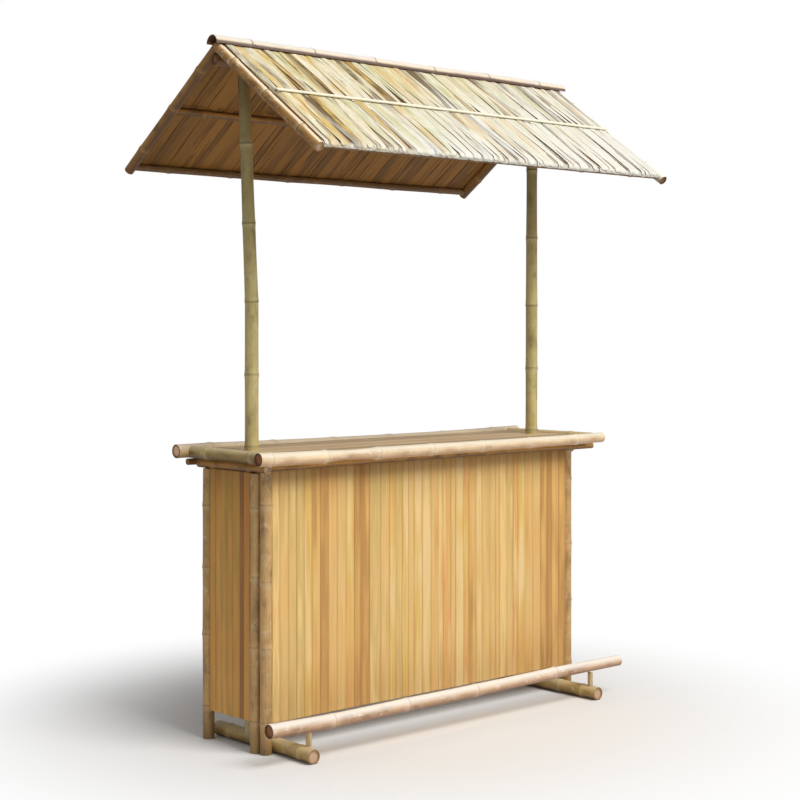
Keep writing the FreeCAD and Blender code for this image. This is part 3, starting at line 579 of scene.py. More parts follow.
# Layers of a course, from the poles outwards: heights over the poles at a leaf's two ends in millimetres,
# share of the mean width, spread of width, spacing, slant in millimetres, taper from and to, sunlit share
LEAF_LAYERS = (
    ((1.6, 1.6), 0.70, 0.25, 0.62, 2, 0.0, 0.02, 0.0),
    ((3.6, 3.2), 0.80, 0.30, 1.00, 12, 0.1, 0.45, 0.5),
    ((5.6, 4.8), 0.78, 0.40, 0.85, 18, 0.15, 0.6, 1.0),
    ((7.4, 6.4), 0.48, 0.50, 2.40, 24, 0.3, 0.90, 1.0),
)
ROOT_LAP = 26 * MM
LATH_LAP = 16 * MM
EAVE_WRAP = 24 * MM
TIP_SPREAD = 7 * MM
# How far the courses reach over the rafters' inner halves
GABLE_LAP = 13 * MM
# Each course's two ends as distances below the apex, its extra lift at its lower end, and how bleached it is
COURSES = {
    "upper": (2 * MM, LATH_ALONG + LATH_LAP, 1.6 * MM, 0.3),
    "lower": (LATH_ALONG - ROOT_LAP, EAVE_ALONG + EAVE_WRAP, 0.0, 0.6),
}
# Leaves are whiter towards the right, as painted light, by this share at the gable
RIGHT_PAINTED_LIGHT = 0.42


def leaf_course(name, facing, course, seed):
    """All leaves of one course on one slope, in overlapping layers."""
    look = bpy.context.scene.leaf_look
    blank = Blank(seed)
    dice = blank.dice
    low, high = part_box(f"{facing}_{course}_thatch")
    left, right = low.x - GABLE_LAP, high.x + GABLE_LAP
    begin, finish, rise, sunny = COURSES[course]
    for heights, share, spread, spacing, slant, slim, point, face in LEAF_LAYERS:
        mean = look.width * share
        count = round((right - left) / (mean * spacing))
        for number in range(count):
            width = mean * (1 + dice.uniform(-spread, spread))
            x = left + (right - left) * (number + 0.5 + dice.uniform(-0.2, 0.2)) / count
            lean = dice.gauss(-0.1, 0.55) * slant * MM
            bow = dice.uniform(-0.3, 0.3) * slant * MM
            near = width / 2
            x = min(max(x, left + near - min(0, lean)), right - near - max(0, lean))
            tip = finish - (abs(dice.gauss(0, 0.5)) * TIP_SPREAD if face else 0.0)
            start = begin + dice.uniform(0, 8) * MM
            steps = (number % 3) * 0.5 * MM + POLE_RADIUS
            lift = (heights[0] * MM + steps, heights[1] * MM + steps + rise)
            # the course's bleaching, a random part and painted light that grows towards the right
            bleach = min(1.0, max(0.0, sunny + RIGHT_PAINTED_LIGHT * x / right + dice.uniform(-0.25, 0.25)))
            taper = dice.uniform(slim, point)
            grow_leaf(blank, facing, x, start, tip, lift, width, lean, bow, taper, face, bleach)
    return blank.lay(name, [leaf_finish()], [f"{facing}_{course}_thatch"], crease=70)


# Materials

def put(tree, kind, sockets=None, **settings):
    """Add a node with its settings, its values and its links."""
    node = tree.nodes.new(kind)
    for name, value in settings.items():
        if name == "stops":
            ramp = node.color_ramp
            while len(ramp.elements) < len(value):
                ramp.elements.new(1.0)
            for element, (position, colour) in zip(ramp.elements, value):
                element.position = position
                element.color = (*colour, 1.0)
        else:
            setattr(node, name, value)
    for key, value in (sockets or {}).items():
        if isinstance(value, bpy.types.NodeSocket):
            tree.links.new(value, node.inputs[key])
        else:
            node.inputs[key].default_value = value
    return node


def blank_material(name):
    """The material of that name, with its empty node tree where it still has to be made."""
    found = bpy.data.materials.get(name)
    if found:
        return found, None
    material = bpy.data.materials.new(name)
    material.use_nodes = True
    material.node_tree.nodes.clear()
    return material, material.node_tree


def tint(colour, strength):
    """The same colour, darker or lighter."""
    return tuple(min(1.0, channel * strength) for channel in colour)


def mixed(first, second, share):
    """A colour between two others."""
    return tuple(one + (two - one) * share for one, two in zip(first, second))


def stored(tree):
    """What a blank stored at its points: the place in the grain, the three marks and the stick's tone."""
    grain = put(tree, "ShaderNodeAttribute", attribute_name="grain").outputs["Vector"]
    mark = put(tree, "ShaderNodeAttribute", attribute_name="mark").outputs["Vector"]
    tone = put(tree, "ShaderNodeAttribute", attribute_name="tone").outputs["Fac"]
    return grain, put(tree, "ShaderNodeSeparateXYZ", {0: mark}).outputs, tone


def culm_finish(name, colour, scar, patch_and_shade, bloom_and_highlight, roughness, coat, scar_and_foot_shade=0.3, painted_top_light=0.4, painted_under_shade=0.4,
                top_light_from=0.05, stain=None):
    """Bamboo culm, scraped and lacquered: fine fibres along it, pale wax under each node and a dark scar
    on it, with painted highlight where it faces up and painted shade where it faces down, and a skin
    that shines softly.

    A stain darkens it between two heights in metres up to a share of its colour; on the roof posts that
    darkening is painted shadow of the roof. The scar share also sets the painted shade along a split
    culm's feet.
    """
    material, tree = blank_material(name)
    if tree is None:
        return material
    grain, (scars_and_foot_shade, wax, joint), tone = stored(tree)
    noises = []
    for scale, shift, detail, grit in (
        # fibres 4 mm apart, drawn coarser than the real 1 mm so that they show, and 200 mm long
        ((250, 250, 5), (0, 0, 0), 3.0, 0.65),
        # cloudy weathering 45 mm across and 90 mm long
        ((22, 22, 11), (0, 0, 0), 4.0, 0.6),
        # mould specks 8 mm across and 20 mm long
        ((120, 120, 50), (0, 0, 0), 2.0, 0.5),
        # waxy bloom in blots 35 mm across
        ((30, 30, 24), (7, 3, 5), 3.0, 0.7),
    ):
        place = put(tree, "ShaderNodeVectorMath", {0: grain, 1: scale, 2: shift},
                    operation="MULTIPLY_ADD").outputs[0]
        noises.append(put(tree, "ShaderNodeTexNoise", {"Vector": place, "Scale": 1.0, "Detail": detail,
                                                       "Roughness": grit}).outputs["Fac"])
    fibres, clouds, specks, blots = noises
    body = put(tree, "ShaderNodeValToRGB", {"Fac": clouds}, stops=(
        (0.32, mixed(tint(colour, 0.80), patch_and_shade, 0.6)),
        (0.46, mixed(colour, patch_and_shade, 0.2)),
        (0.56, colour),
        (0.72, tint(colour, 1.10)),
    )).outputs["Color"]
    # the fibres, each joint and each culm are a little darker or lighter
    for value, start, end, low, high in (
        (fibres, 0.3, 0.7, 0.86, 1.08),
        (joint, 0.0, 1.0, 0.92, 1.06),
        (tone, 0.0, 1.0, 0.93, 1.05),
    ):
        shade = put(tree, "ShaderNodeMapRange", {"Value": value, 1: start, 2: end, 3: low,
                                                 4: high}).outputs[0]
        body = put(tree, "ShaderNodeVectorMath", {0: body, "Scale": shade}, operation="SCALE").outputs[0]
    normal = put(tree, "ShaderNodeNewGeometry").outputs["Normal"]
    facing = put(tree, "ShaderNodeSeparateXYZ", {0: normal}).outputs[2]
    layers = [
        (blots, 0.56, 0.72, 0.0, 0.55, bloom_and_highlight),
        (specks, 0.62, 0.78, 0.0, 0.35, tint(scar, 1.3)),
        # painted highlight on a culm's upper side and painted shade on its lower side, by the way each spot
        # faces
        (facing, top_light_from, 0.8, 0.0, painted_top_light, bloom_and_highlight),
        (facing, -0.7, 0.1, painted_under_shade, 0.0, patch_and_shade),
    ]
    # darker between two heights; on the roof posts this is painted shadow of the roof
    if stain:
        darken_from, darken_to, share, darken_colour = stain
        place = put(tree, "ShaderNodeTexCoord").outputs["Object"]
        height = put(tree, "ShaderNodeSeparateXYZ", {0: place}).outputs[2]
        layers.append((height, darken_from, darken_to, 0.0, share, darken_colour))
    layers += [
        (wax, 0.0, 1.0, 0.0, 0.30, mixed(colour, bloom_and_highlight, 0.7)),
        (scars_and_foot_shade, 0.0, 1.0, 0.0, scar_and_foot_shade, scar),
    ]
    for value, start, end, low, high, over in layers:
        share = put(tree, "ShaderNodeMapRange", {"Value": value, 1: start, 2: end, 3: low,
                                                 4: high}).outputs[0]
        body = put(tree, "ShaderNodeMix", {0: share, 6: body, 7: (*over, 1)}, data_type="RGBA").outputs[2]
    rough = put(tree, "ShaderNodeMapRange", {"Value": clouds, 1: 0.3, 2: 0.7, 3: roughness - 0.06,
                                             4: roughness + 0.12}).outputs[0]
    relief = put(tree, "ShaderNodeBump", {"Height": fibres, "Strength": 0.5,
                                          "Distance": 0.4 * MM}).outputs[0]
    shader = put(tree, "ShaderNodeBsdfPrincipled", {"Base Color": body, "Roughness": rough, "Normal": relief,
                                                    "Coat Weight": coat, "Coat Roughness": 0.3})
    put(tree, "ShaderNodeOutputMaterial", {"Surface": shader.outputs[0]})
    return material


def culm_colour(name):
    """A colour of the culm settings."""
    return tuple(getattr(bpy.context.scene.culm_look, name))


def tan_culm():
    """Scraped and lacquered culm of the front rim: painted highlight makes it almost cream on top, and
    painted shade darkens its lower side.
    """
    return culm_finish("Bamboo lacquered tan", culm_colour("tan"), linear("7a5636"), linear("a67856"),
                       linear("eee6d2"), 0.4, 0.2, scar_and_foot_shade=0.2, painted_top_light=0.85, painted_under_shade=0.6, top_light_from=-0.1)


def cream_culm():
    """Culm of the footrest: painted highlight makes it cream above, and painted shade rosy brown below."""
    return culm_finish("Bamboo worn cream", mixed(culm_colour("tan"), linear("c89a7c"), 0.5),
                       linear("8a6448"), linear("8e6448"), linear("f6f0e6"), 0.42, 0.15, scar_and_foot_shade=0.3,
                       painted_top_light=0.9, painted_under_shade=0.85, top_light_from=0.0)


def tan_painted_top_culm():
    """Culm of the back rim: tan, painted pale on top as painted highlight and darker below as painted shade.
    """
    return culm_finish("Bamboo worn tan", mixed(culm_colour("brown"), linear("e8dac2"), 0.2),
                       linear("57412b"), linear("8a6a42"), linear("e8dac2"), 0.48, 0.1, painted_top_light=0.7, painted_under_shade=0.6)


def brown_culm():
    """Weathered culm of the panels' posts and rails, darker towards its feet."""
    return culm_finish("Bamboo weathered brown", culm_colour("brown"), linear("57412b"), linear("7c5a38"),
                       linear("dac4a0"), 0.5, 0.1, scar_and_foot_shade=0.25, stain=(0.14, 0.02, 0.5, linear("5a4226")))


def olive_culm():
    """Culm of the roof posts, which kept its green skin; painted darker close under the roof as painted
    shadow of the roof.
    """
    return culm_finish("Bamboo skin olive", culm_colour("olive"), linear("544a2a"), linear("8a7a44"),
                       linear("d2c698"), 0.42, 0.15, scar_and_foot_shade=0.5, stain=(1.66, 2.36, 0.8, linear("624e24")))


def mossy_culm():
    """Culm with an olive skin, of the side rims and the skids: painted light above, painted shade below."""
    return culm_finish("Bamboo weathered olive", culm_colour("mossy"), linear("4a3a22"), linear("5a4016"),
                       linear("e4d2a4"), 0.45, 0.1, painted_top_light=0.62, painted_under_shade=0.9)


def amber_culm():
    """Stained culm of the bearers, purlins, back rafters and front support pole: painted shade below."""
    return culm_finish("Bamboo stained amber", culm_colour("amber"), linear("4a2e12"), linear("4e300e"),
                       linear("c0925a"), 0.5, 0.08, painted_top_light=0.25, painted_under_shade=0.85)


def smoked_culm():
    """Culm of the poles under the leaves, smoked to a matt brown."""
    return culm_finish("Bamboo smoked", culm_colour("smoked"), linear("3c2814"), linear("573a1e"),
                       linear("a88a5e"), 0.55, 0.05)


def pale_culm():
    """Culm of the front left rafter: brown at the sides, with a painted cream highlight where it faces up.
    """
    return culm_finish("Bamboo sun bleached", culm_colour("pale"), linear("54402c"), linear("7a4f20"),
                       linear("f2e4c8"), 0.5, 0.08, painted_top_light=0.85, painted_under_shade=0.6, top_light_from=0.62)


def dry_culm():
    """Culm of the front right rafter: it lies in the open and dried almost white all over; painted highlight
    above and painted shade below.
    """
    return culm_finish("Bamboo dried white", culm_colour("dry"), linear("57503c"), linear("8c7e5c"),
                       linear("f6f2e6"), 0.55, 0.05, painted_top_light=0.9, painted_under_shade=0.6, top_light_from=-0.1)


def cap_culm():
    """Split culm over the ridge: painted highlight makes it cream on top, painted shade dark along its feet.
    """
    return culm_finish("Bamboo split cap", culm_colour("tan"), linear("4a3430"), linear("a98468"),
                       linear("e0dad0"), 0.5, 0.08, scar_and_foot_shade=0.92, painted_top_light=0.9)


def end_grain(name="Bamboo sawn end", wall="987654", inside="c2a282"):
    """Sawn end of a culm: a brown wall with dark fibre dots, and the paler inner wall across it."""
    material, tree = blank_material(name)
    if tree is None:
        return material
    grain, (hollow, _, _), _ = stored(tree)
    # fibre dots 1.5 mm apart
    dots = put(tree, "ShaderNodeTexVoronoi", {"Vector": grain, "Scale": 650.0}).outputs["Distance"]
    base = put(tree, "ShaderNodeValToRGB", {"Fac": dots}, stops=(
        (0.1, tint(linear(wall), 0.4)),
        (0.35, tint(linear(wall), 0.85)),
        (0.8, linear(wall)),
    )).outputs["Color"]
    body = put(tree, "ShaderNodeMix", {0: hollow, 6: base, 7: (*linear(inside), 1)},
               data_type="RGBA").outputs[2]
    relief = put(tree, "ShaderNodeBump", {"Height": dots, "Strength": 0.4, "Distance": 0.3 * MM}).outputs[0]
    shader = put(tree, "ShaderNodeBsdfPrincipled", {"Base Color": body, "Roughness": 0.8, "Normal": relief})
    put(tree, "ShaderNodeOutputMaterial", {"Surface": shader.outputs[0]})
    return material


def stained_end():
    """Sawn end that took up stain."""
    return end_grain("Bamboo sawn end stained", "5e4028", "94643f")


def fresh_end():
    """Sawn end with a weathered wall round a fresh inner one."""
    return end_grain("Bamboo sawn end weathered", "5a4430", "f0c4a0")


def bright_end():
    """Freshly sawn end, light all over."""
    return end_grain("Bamboo sawn end bright", "dcb890", "f0d4b0")


def slat_finish(name, stops, streak, dark, roughness, coat, painted_end_shade=0.0):
    """Planed and lacquered slats: each one its own tone, with long grain streaks and dark pores.

    The last argument is how much darker the slats' far ends are painted: painted shade under the rim.
    """
    material, tree = blank_material(name)
    if tree is None:
        return material
    grain, (across, along, _), tone = stored(tree)
    noises = []
    for scale, detail, grit in (
        # broad bands 30 mm wide and half a metre long
        ((34, 34, 2), 2.0, 0.5),
        # slow change of colour down a slat, over a third of a metre
        ((6, 6, 3), 2.0, 0.5),
        # grain lines 5 mm apart, drawn coarser than the real 0.5 mm so that they show
        ((190, 190, 4), 3.0, 0.6),
    ):
        place = put(tree, "ShaderNodeVectorMath", {0: grain, 1: scale}, operation="MULTIPLY").outputs[0]
        noises.append(put(tree, "ShaderNodeTexNoise", {"Vector": place, "Scale": 1.0, "Detail": detail,
                                                       "Roughness": grit}).outputs["Fac"])
    bands, drift, lines = noises
    hue = tone
    for noise, swing in ((bands, 0.6), (drift, 0.35)):
        part = put(tree, "ShaderNodeMath", {0: noise, 1: swing, 2: -swing / 2},
                   operation="MULTIPLY_ADD").outputs[0]
        hue = put(tree, "ShaderNodeMath", {0: hue, 1: part}, operation="ADD").outputs[0]
    base = put(tree, "ShaderNodeValToRGB", {"Fac": hue}, stops=stops).outputs["Color"]
    line_shade = put(tree, "ShaderNodeMapRange", {"Value": lines, 1: 0.28, 2: 0.72, 3: 1 - streak,
                                                  4: 1 + streak * 0.5}).outputs[0]
    body = put(tree, "ShaderNodeVectorMath", {0: base, "Scale": line_shade}, operation="SCALE").outputs[0]
    from_middle = put(tree, "ShaderNodeMath", {0: across, 1: 0.5}, operation="SUBTRACT").outputs[0]
    from_middle = put(tree, "ShaderNodeMath", {0: from_middle}, operation="ABSOLUTE").outputs[0]
    for value, start, end, share in (
        # painted shade along a slat's two edges, where it meets the next
        (from_middle, 0.34, 0.5, 0.18),
        # painted shade at the slats' far ends, under the rim
        (along, 0.88, 1.0, painted_end_shade),
    ):
        stain = put(tree, "ShaderNodeMapRange", {"Value": value, 1: start, 2: end, 3: 0.0,
                                                 4: share}).outputs[0]
        body = put(tree, "ShaderNodeMix", {0: stain, 6: body, 7: (*dark, 1)}, data_type="RGBA").outputs[2]
    rough = put(tree, "ShaderNodeMapRange", {"Value": lines, 1: 0.3, 2: 0.7, 3: roughness + 0.1,
                                             4: roughness - 0.05}).outputs[0]
    relief = put(tree, "ShaderNodeBump", {"Height": lines, "Strength": 0.5,
                                          "Distance": 0.25 * MM}).outputs[0]
    shader = put(tree, "ShaderNodeBsdfPrincipled", {"Base Color": body, "Roughness": rough, "Normal": relief,
                                                    "Coat Weight": coat, "Coat Roughness": 0.35})
    put(tree, "ShaderNodeOutputMaterial", {"Surface": shader.outputs[0]})
    return material


def panel_slat_finish():
    """Slats of the front, lacquered: honey with some browner and some paler ones, painted shade under the
    rim.
    """
    honey = tuple(bpy.context.scene.slat_look.honey)
    return slat_finish("Slat lacquered honey", (
        (0.04, linear("b98846")),
        (0.20, linear("d8a85e")),
        (0.36, honey),
        (0.50, linear("ccab66")),
        (0.62, linear("e6c27c")),
        (0.76, linear("d89f5c")),
        (0.88, linear("d8b25f")),
        (0.98, linear("e3c184")),
    ), 0.10, linear("8e5a1a"), 0.42, 0.2, painted_end_shade=0.74)


def side_slat_finish():
    """Slats of the sides, lacquered over an amber stain: deeper in colour than the front's."""
    amber = tuple(bpy.context.scene.slat_look.amber)
    return slat_finish("Slat lacquered amber", (
        (0.06, linear("9c6622")),
        (0.25, linear("ca8430")),
        (0.42, amber),
        (0.58, linear("be923e")),
        (0.72, linear("dea54a")),
        (0.90, linear("c88034")),
    ), 0.12, linear("744616"), 0.45, 0.15, painted_end_shade=0.3)


def top_slat_finish():
    """Slats of the counter's top, worn by use to a matt tan."""
    return slat_finish("Slat lacquered tan", (
        (0.05, linear("b49468")),
        (0.30, linear("d8b688")),
        (0.50, linear("c8a87a")),
        (0.70, linear("e2c498")),
        (0.95, linear("bea076")),
    ), 0.2, linear("60452a"), 0.45, 0.15)


def lath_finish():
    """Thin split lath, left bare and bleached almost white."""
    return slat_finish("Lath split bamboo", (
        (0.1, linear("e8e0cc")), (0.5, linear("f4f1e6")), (0.9, linear("eee7d2"))),
        0.06, linear("b8a88a"), 0.5, 0.05)


def slat_end():
    """Sawn end of a slat: open end grain, matt and a little darker."""
    material, tree = blank_material("Slat sawn end")
    if tree is None:
        return material
    grain = put(tree, "ShaderNodeAttribute", attribute_name="grain").outputs["Vector"]
    # pores 2 mm apart, drawn coarser than the real 0.5 mm so that they show
    dots = put(tree, "ShaderNodeTexNoise", {"Vector": grain, "Scale": 500.0, "Detail": 2.0}).outputs["Fac"]
    base = put(tree, "ShaderNodeValToRGB", {"Fac": dots}, stops=(
        (0.3, linear("7a5730")),
        (0.7, linear("b38b58")),
    )).outputs["Color"]
    shader = put(tree, "ShaderNodeBsdfPrincipled", {"Base Color": base, "Roughness": 0.85})
    put(tree, "ShaderNodeOutputMaterial", {"Surface": shader.outputs[0]})
    return material


def leaf_finish():
    """Dried leaf: matt and ribbed along its length, sun-bleached above and brown below."""
    material, tree = blank_material("Leaf dried")
    if tree is None:
        return material
    look = bpy.context.scene.leaf_look
    straw, under = tuple(look.straw), tuple(look.under)
    grain, (_, lit, white), tone = stored(tree)
    noises = []
    for scale in (
        # ribs 5 mm apart, drawn coarser than the real 1 mm so that they show
        (210, 60, 3),
        # blotches 40 mm across and 125 mm long
        (26, 26, 8),
    ):
        place = put(tree, "ShaderNodeVectorMath", {0: grain, 1: scale}, operation="MULTIPLY").outputs[0]
        noises.append(put(tree, "ShaderNodeTexNoise", {"Vector": place, "Scale": 1.0, "Detail": 3.0,
                                                       "Roughness": 0.6}).outputs["Fac"])
    ribs, blotches = noises
    hue = put(tree, "ShaderNodeMath", {0: blotches, 1: 0.5, 2: -0.25}, operation="MULTIPLY_ADD").outputs[0]
    hue = put(tree, "ShaderNodeMath", {0: tone, 1: hue}, operation="ADD").outputs[0]
    above = put(tree, "ShaderNodeValToRGB", {"Fac": hue}, stops=(
        # the darkest stops at both ends give some leaves a dark brown that stands for shaded gaps: painted
        # shade
        (0.02, linear("6c5430")),
        (0.12, linear("c4a25a")),
        (0.26, straw),
        (0.40, linear("bcb886")),
        (0.52, linear("e2dcc4")),
        (0.66, linear("ceae5e")),
        (0.82, linear("dcd4b8")),
        (0.98, linear("6e5a38")),
    )).outputs["Color"]
    # the bleach mark whitens the leaf; it also carries painted light towards the right of the roof
    bleached = put(tree, "ShaderNodeMapRange", {"Value": white, 1: 0.25, 2: 1.0, 3: 0.0,
                                                4: 0.84}).outputs[0]
    above = put(tree, "ShaderNodeMix", {0: bleached, 6: above, 7: (*linear("e0e0da"), 1)},
                data_type="RGBA").outputs[2]
    below = put(tree, "ShaderNodeValToRGB", {"Fac": hue}, stops=(
        (0.05, tint(under, 0.62)),
        (0.30, tint(under, 0.88)),
        (0.60, under),
        (0.90, tint(under, 1.15)),
    )).outputs["Color"]
    # leaves under the cover stay brown, as no sun bleaches them, and darker still as painted shade
    deep = put(tree, "ShaderNodeVectorMath", {0: below, "Scale": 0.7}, operation="SCALE").outputs[0]
    sunlit = put(tree, "ShaderNodeMath", {0: lit, 1: 0.0}, operation="MAXIMUM").outputs[0]
    above = put(tree, "ShaderNodeMix", {0: sunlit, 6: deep, 7: above}, data_type="RGBA").outputs[2]
    turned = put(tree, "ShaderNodeMath", {0: lit, 1: -0.5}, operation="LESS_THAN").outputs[0]
    body = put(tree, "ShaderNodeMix", {0: turned, 6: above, 7: below}, data_type="RGBA").outputs[2]
    rib_shade = put(tree, "ShaderNodeMapRange", {"Value": ribs, 1: 0.3, 2: 0.7, 3: 0.80, 4: 1.06}).outputs[0]
    body = put(tree, "ShaderNodeVectorMath", {0: body, "Scale": rib_shade}, operation="SCALE").outputs[0]
    relief = put(tree, "ShaderNodeBump", {"Height": ribs, "Strength": 0.7, "Distance": 0.8 * MM}).outputs[0]
    shader = put(tree, "ShaderNodeBsdfPrincipled", {"Base Color": body, "Roughness": 0.72, "Normal": relief})
    put(tree, "ShaderNodeOutputMaterial", {"Surface": shader.outputs[0]})
    return material


def peg_finish():
    """Hardwood dowel, turned and left bare: brown, with fine lines along it."""
    material, tree = blank_material("Hardwood dowel")
    if tree is None:
        return material
    place = put(tree, "ShaderNodeTexCoord").outputs["Object"]
    # turning lines 3 mm apart, drawn coarser than the real 0.3 mm so that they show
    lines_place = put(tree, "ShaderNodeVectorMath", {0: place, 1: (300, 300, 12)}, operation="MULTIPLY")
    lines = put(tree, "ShaderNodeTexNoise", {"Vector": lines_place.outputs[0], "Scale": 1.0,
                                             "Detail": 3.0}).outputs["Fac"]
    base = put(tree, "ShaderNodeValToRGB", {"Fac": lines}, stops=(
        (0.3, linear("9a7e58")),
        (0.7, linear("d6bc92")),
    )).outputs["Color"]
    relief = put(tree, "ShaderNodeBump", {"Height": lines, "Strength": 0.4, "Distance": 0.3 * MM}).outputs[0]
    shader = put(tree, "ShaderNodeBsdfPrincipled", {"Base Color": base, "Roughness": 0.6, "Normal": relief})
    put(tree, "ShaderNodeOutputMaterial", {"Surface": shader.outputs[0]})
    return material


# Spans of the poles, with what the real bar's poles have that the frame's straight ones lack

# A front post's top rises this far, as a saddle round the bearer
SADDLE_RISE = 9 * MM
# The front rim is thinner between two places along X, in metres from the bar's middle
RIM_WAIST = (-0.597, -0.350)
RIM_WAIST_SHARE = 0.22
# Drops in millimetres at each node of the rims, and at the ends of the front one
FRONT_RIM_DROPS = (3, 5, 7, 7, 7, 7, 6, 5, 3)
BACK_RIM_DROPS = (0, 4, 6, 7, 7, 3)
# The front support pole reaches past its packed pole on the left and on the right
SUPPORT_LEFT = 16 * MM
SUPPORT_RIGHT = 14 * MM
# Nodes of the footrest in metres from its left end, with its drop there in millimetres
FOOTREST_NODES = {0.279: 7, 0.631: 4, 0.985: 3, 1.427: -2}
# Nodes of a roof post under the counter, in metres above its foot
POST_LOW_NODES = [0.14, 0.42, 0.70]
# Rise of a roof post's first node over the counter, and of its bend over that node
POST_COLLAR = 12 * MM
POST_BEND_RISE = 520 * MM
# The front right rafter is this much longer than its packed one
LONG_RAFTER = 12 * MM
# The draw whose light and dark slats lie most like those of the real front
FRONT_SLATS_SEED = 112393


def front_rim():
    """Span of the front edge pole, with its waist and its sag between the bearers."""
    span = pole_along("counter_front_rim", ALONG_X, 0.29, 2 * RIDGE_ROOM, crook=1.0 * MM, taper=0.16,
                      loose=0.0)
    length = span["end"].x - span["start"].x
    waist_start, waist_end = [place - span["start"].x for place in RIM_WAIST]
    steps = [waist_end + (length - waist_end) * step / 4.6 for step in (1, 2, 3, 4)]
    span["nodes"] = [0.05, waist_start, waist_end] + steps
    span["waist"] = (waist_start + 4 * MM, waist_end - 4 * MM, RIM_WAIST_SHARE, 1 * MM)
    let_sag(span, [0.0] + span["nodes"] + [length], FRONT_RIM_DROPS)
    return span


def back_rim():
    """Span of the back edge pole."""
    span = pole_along("counter_back_rim", ALONG_X, 0.29, loose=0.0)
    let_sag(span, span["nodes"], BACK_RIM_DROPS)
    return span


def support_pole(facing):
    """Span of a pole under the counter's slats; the front one bows up, and the rim hides most of it."""
    front = facing == "front"
    thinner, end_drop, drop = (2.2 * MM, 0, -2.5) if front else (1.5 * MM, 2, 5)
    span = pole_along(f"{facing}_support_pole", ALONG_X, 0.25, thinner, crook=0.6 * MM, loose=0.0)
    if front:
        span["start"] -= ALONG_X * SUPPORT_LEFT
        span["end"] += ALONG_X * SUPPORT_RIGHT
        span["nodes"] = [place + SUPPORT_LEFT for place in span["nodes"]]
    inner = len(span["nodes"]) - 2
    let_sag(span, span["nodes"], [end_drop] + [drop] * inner + [end_drop])
    return span


def skid(side):
    """Span of a skid, which is flat where it lies on the floor; the left one's front end bends outwards."""
    low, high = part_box(f"{side}_skid")
    radius = (high.x - low.x) / 2 - RIDGE_ROOM
    centre = (low + high) / 2
    centre.z = radius - RIDGE_ROOM
    half = ALONG_Y * ((high.y - low.y) / 2)
    span = {"start": centre - half, "end": centre + half, "radius": radius,
            "nodes": node_places(2 * half.length, 0.16), "crook": 1.0 * MM, "floor": 0.0}
    if side == "left":
        span["bends"] = ((0.0, -10 * MM, 0.0), (0.08, -7 * MM, 0.0), (0.24, -2 * MM, 0.0))
    return span


def footrest():
    """Span of the footrest, which hangs low on the left and bows up a little on the right."""
    span = pole_along("footrest_pole", ALONG_X, 0.255, 2 * RIDGE_ROOM, crook=1.0 * MM, taper=0.15,
                      loose=0.0)
    span["nodes"] = list(FOOTREST_NODES)
    let_sag(span, FOOTREST_NODES, FOOTREST_NODES.values())
    return span


def roof_post(side):
    """Spans of a roof post below and above its bend, which lies at a node."""
    sign = SIDES[side]
    low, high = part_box(f"{side}_roof_post")
    radius = (high.y - low.y) / 2 - RIDGE_ROOM
    inner, outer = (low.x, high.x) if sign > 0 else (high.x, low.x)
    collar = COUNTER_Z + POST_COLLAR
    foot = Vector((inner + sign * (radius + RIDGE_ROOM), 0, low.z))
    bend = Vector((foot.x, 0, collar + POST_BEND_RISE))
    head = Vector((outer - sign * radius, 0, high.z))
    third = (head - bend).length / 3
    lower = {"start": foot, "end": bend, "radius": radius, "crook": 0.5 * MM, "loose": 0.0,
             "nodes": POST_LOW_NODES + [collar - foot.z, collar + POST_BEND_RISE / 2 - foot.z]}
    upper = {"start": bend, "end": head, "radius": radius, "crook": 0.6 * MM, "loose": 0.0,
             "nodes": [3 * MM, third, 2 * third], "taper": 0.16}
    return [lower, upper]


def rafter(facing, side):
    """Span of a rafter, from the apex down its slope."""
    low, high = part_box(f"{facing}_{side}_rafter")
    radius = (high.x - low.x) / 2 - RIDGE_ROOM
    down = DOWN[facing]
    end_z = low.z + radius * OUT[facing].z
    top = APEX + ALONG_X * ((low.x + high.x) / 2)
    start = top - down * (radius * 0.2)
    end = top + down * ((APEX.z - end_z) / -down.z)
    span = {"start": start, "end": end, "radius": radius, "crook": 1.2 * MM,
            "nodes": node_places((end - start).length, 0.22)}
    if (facing, side) == ("front", "right"):
        span["end"] = end + down * LONG_RAFTER
    return span


def ridge_cap():
    """Span of the split culm over the ridge."""
    low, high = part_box("ridge_cap")
    foot = Vector(((low.x + high.x) / 2, (low.y + high.y) / 2, low.z))
    half = ALONG_X * ((high.x - low.x) / 2)
    return {"start": foot - half, "end": foot + half, "radius": (high.y - low.y) / 2 - 0.8 * MM, "arc": 0.5,
            "nodes": node_places(2 * half.length, 0.3), "crook": 1.0 * MM}


# Operators

class TIKI_OT_panel_posts(bpy.types.Operator):
    """Dress the six posts of the counter's panels"""

    bl_idname = "tiki.panel_posts"
    bl_label = "Panel Posts"

    def execute(self, context):
        corners = ["front_left_post", "front_right_post"]
        posts = corners + [f"{side}_side_{place}_post" for side in SIDES for place in ("front", "back")]
        for number, node in enumerate(posts):
            span = pole_along(node, ALONG_Z, 0.255, crook=1.6 * MM, floor=0.0)
            if node in corners:
                span["end"] += ALONG_Z * SADDLE_RISE
            culm_piece(node, [span], brown_culm(), 100 + number)
        return {"FINISHED"}


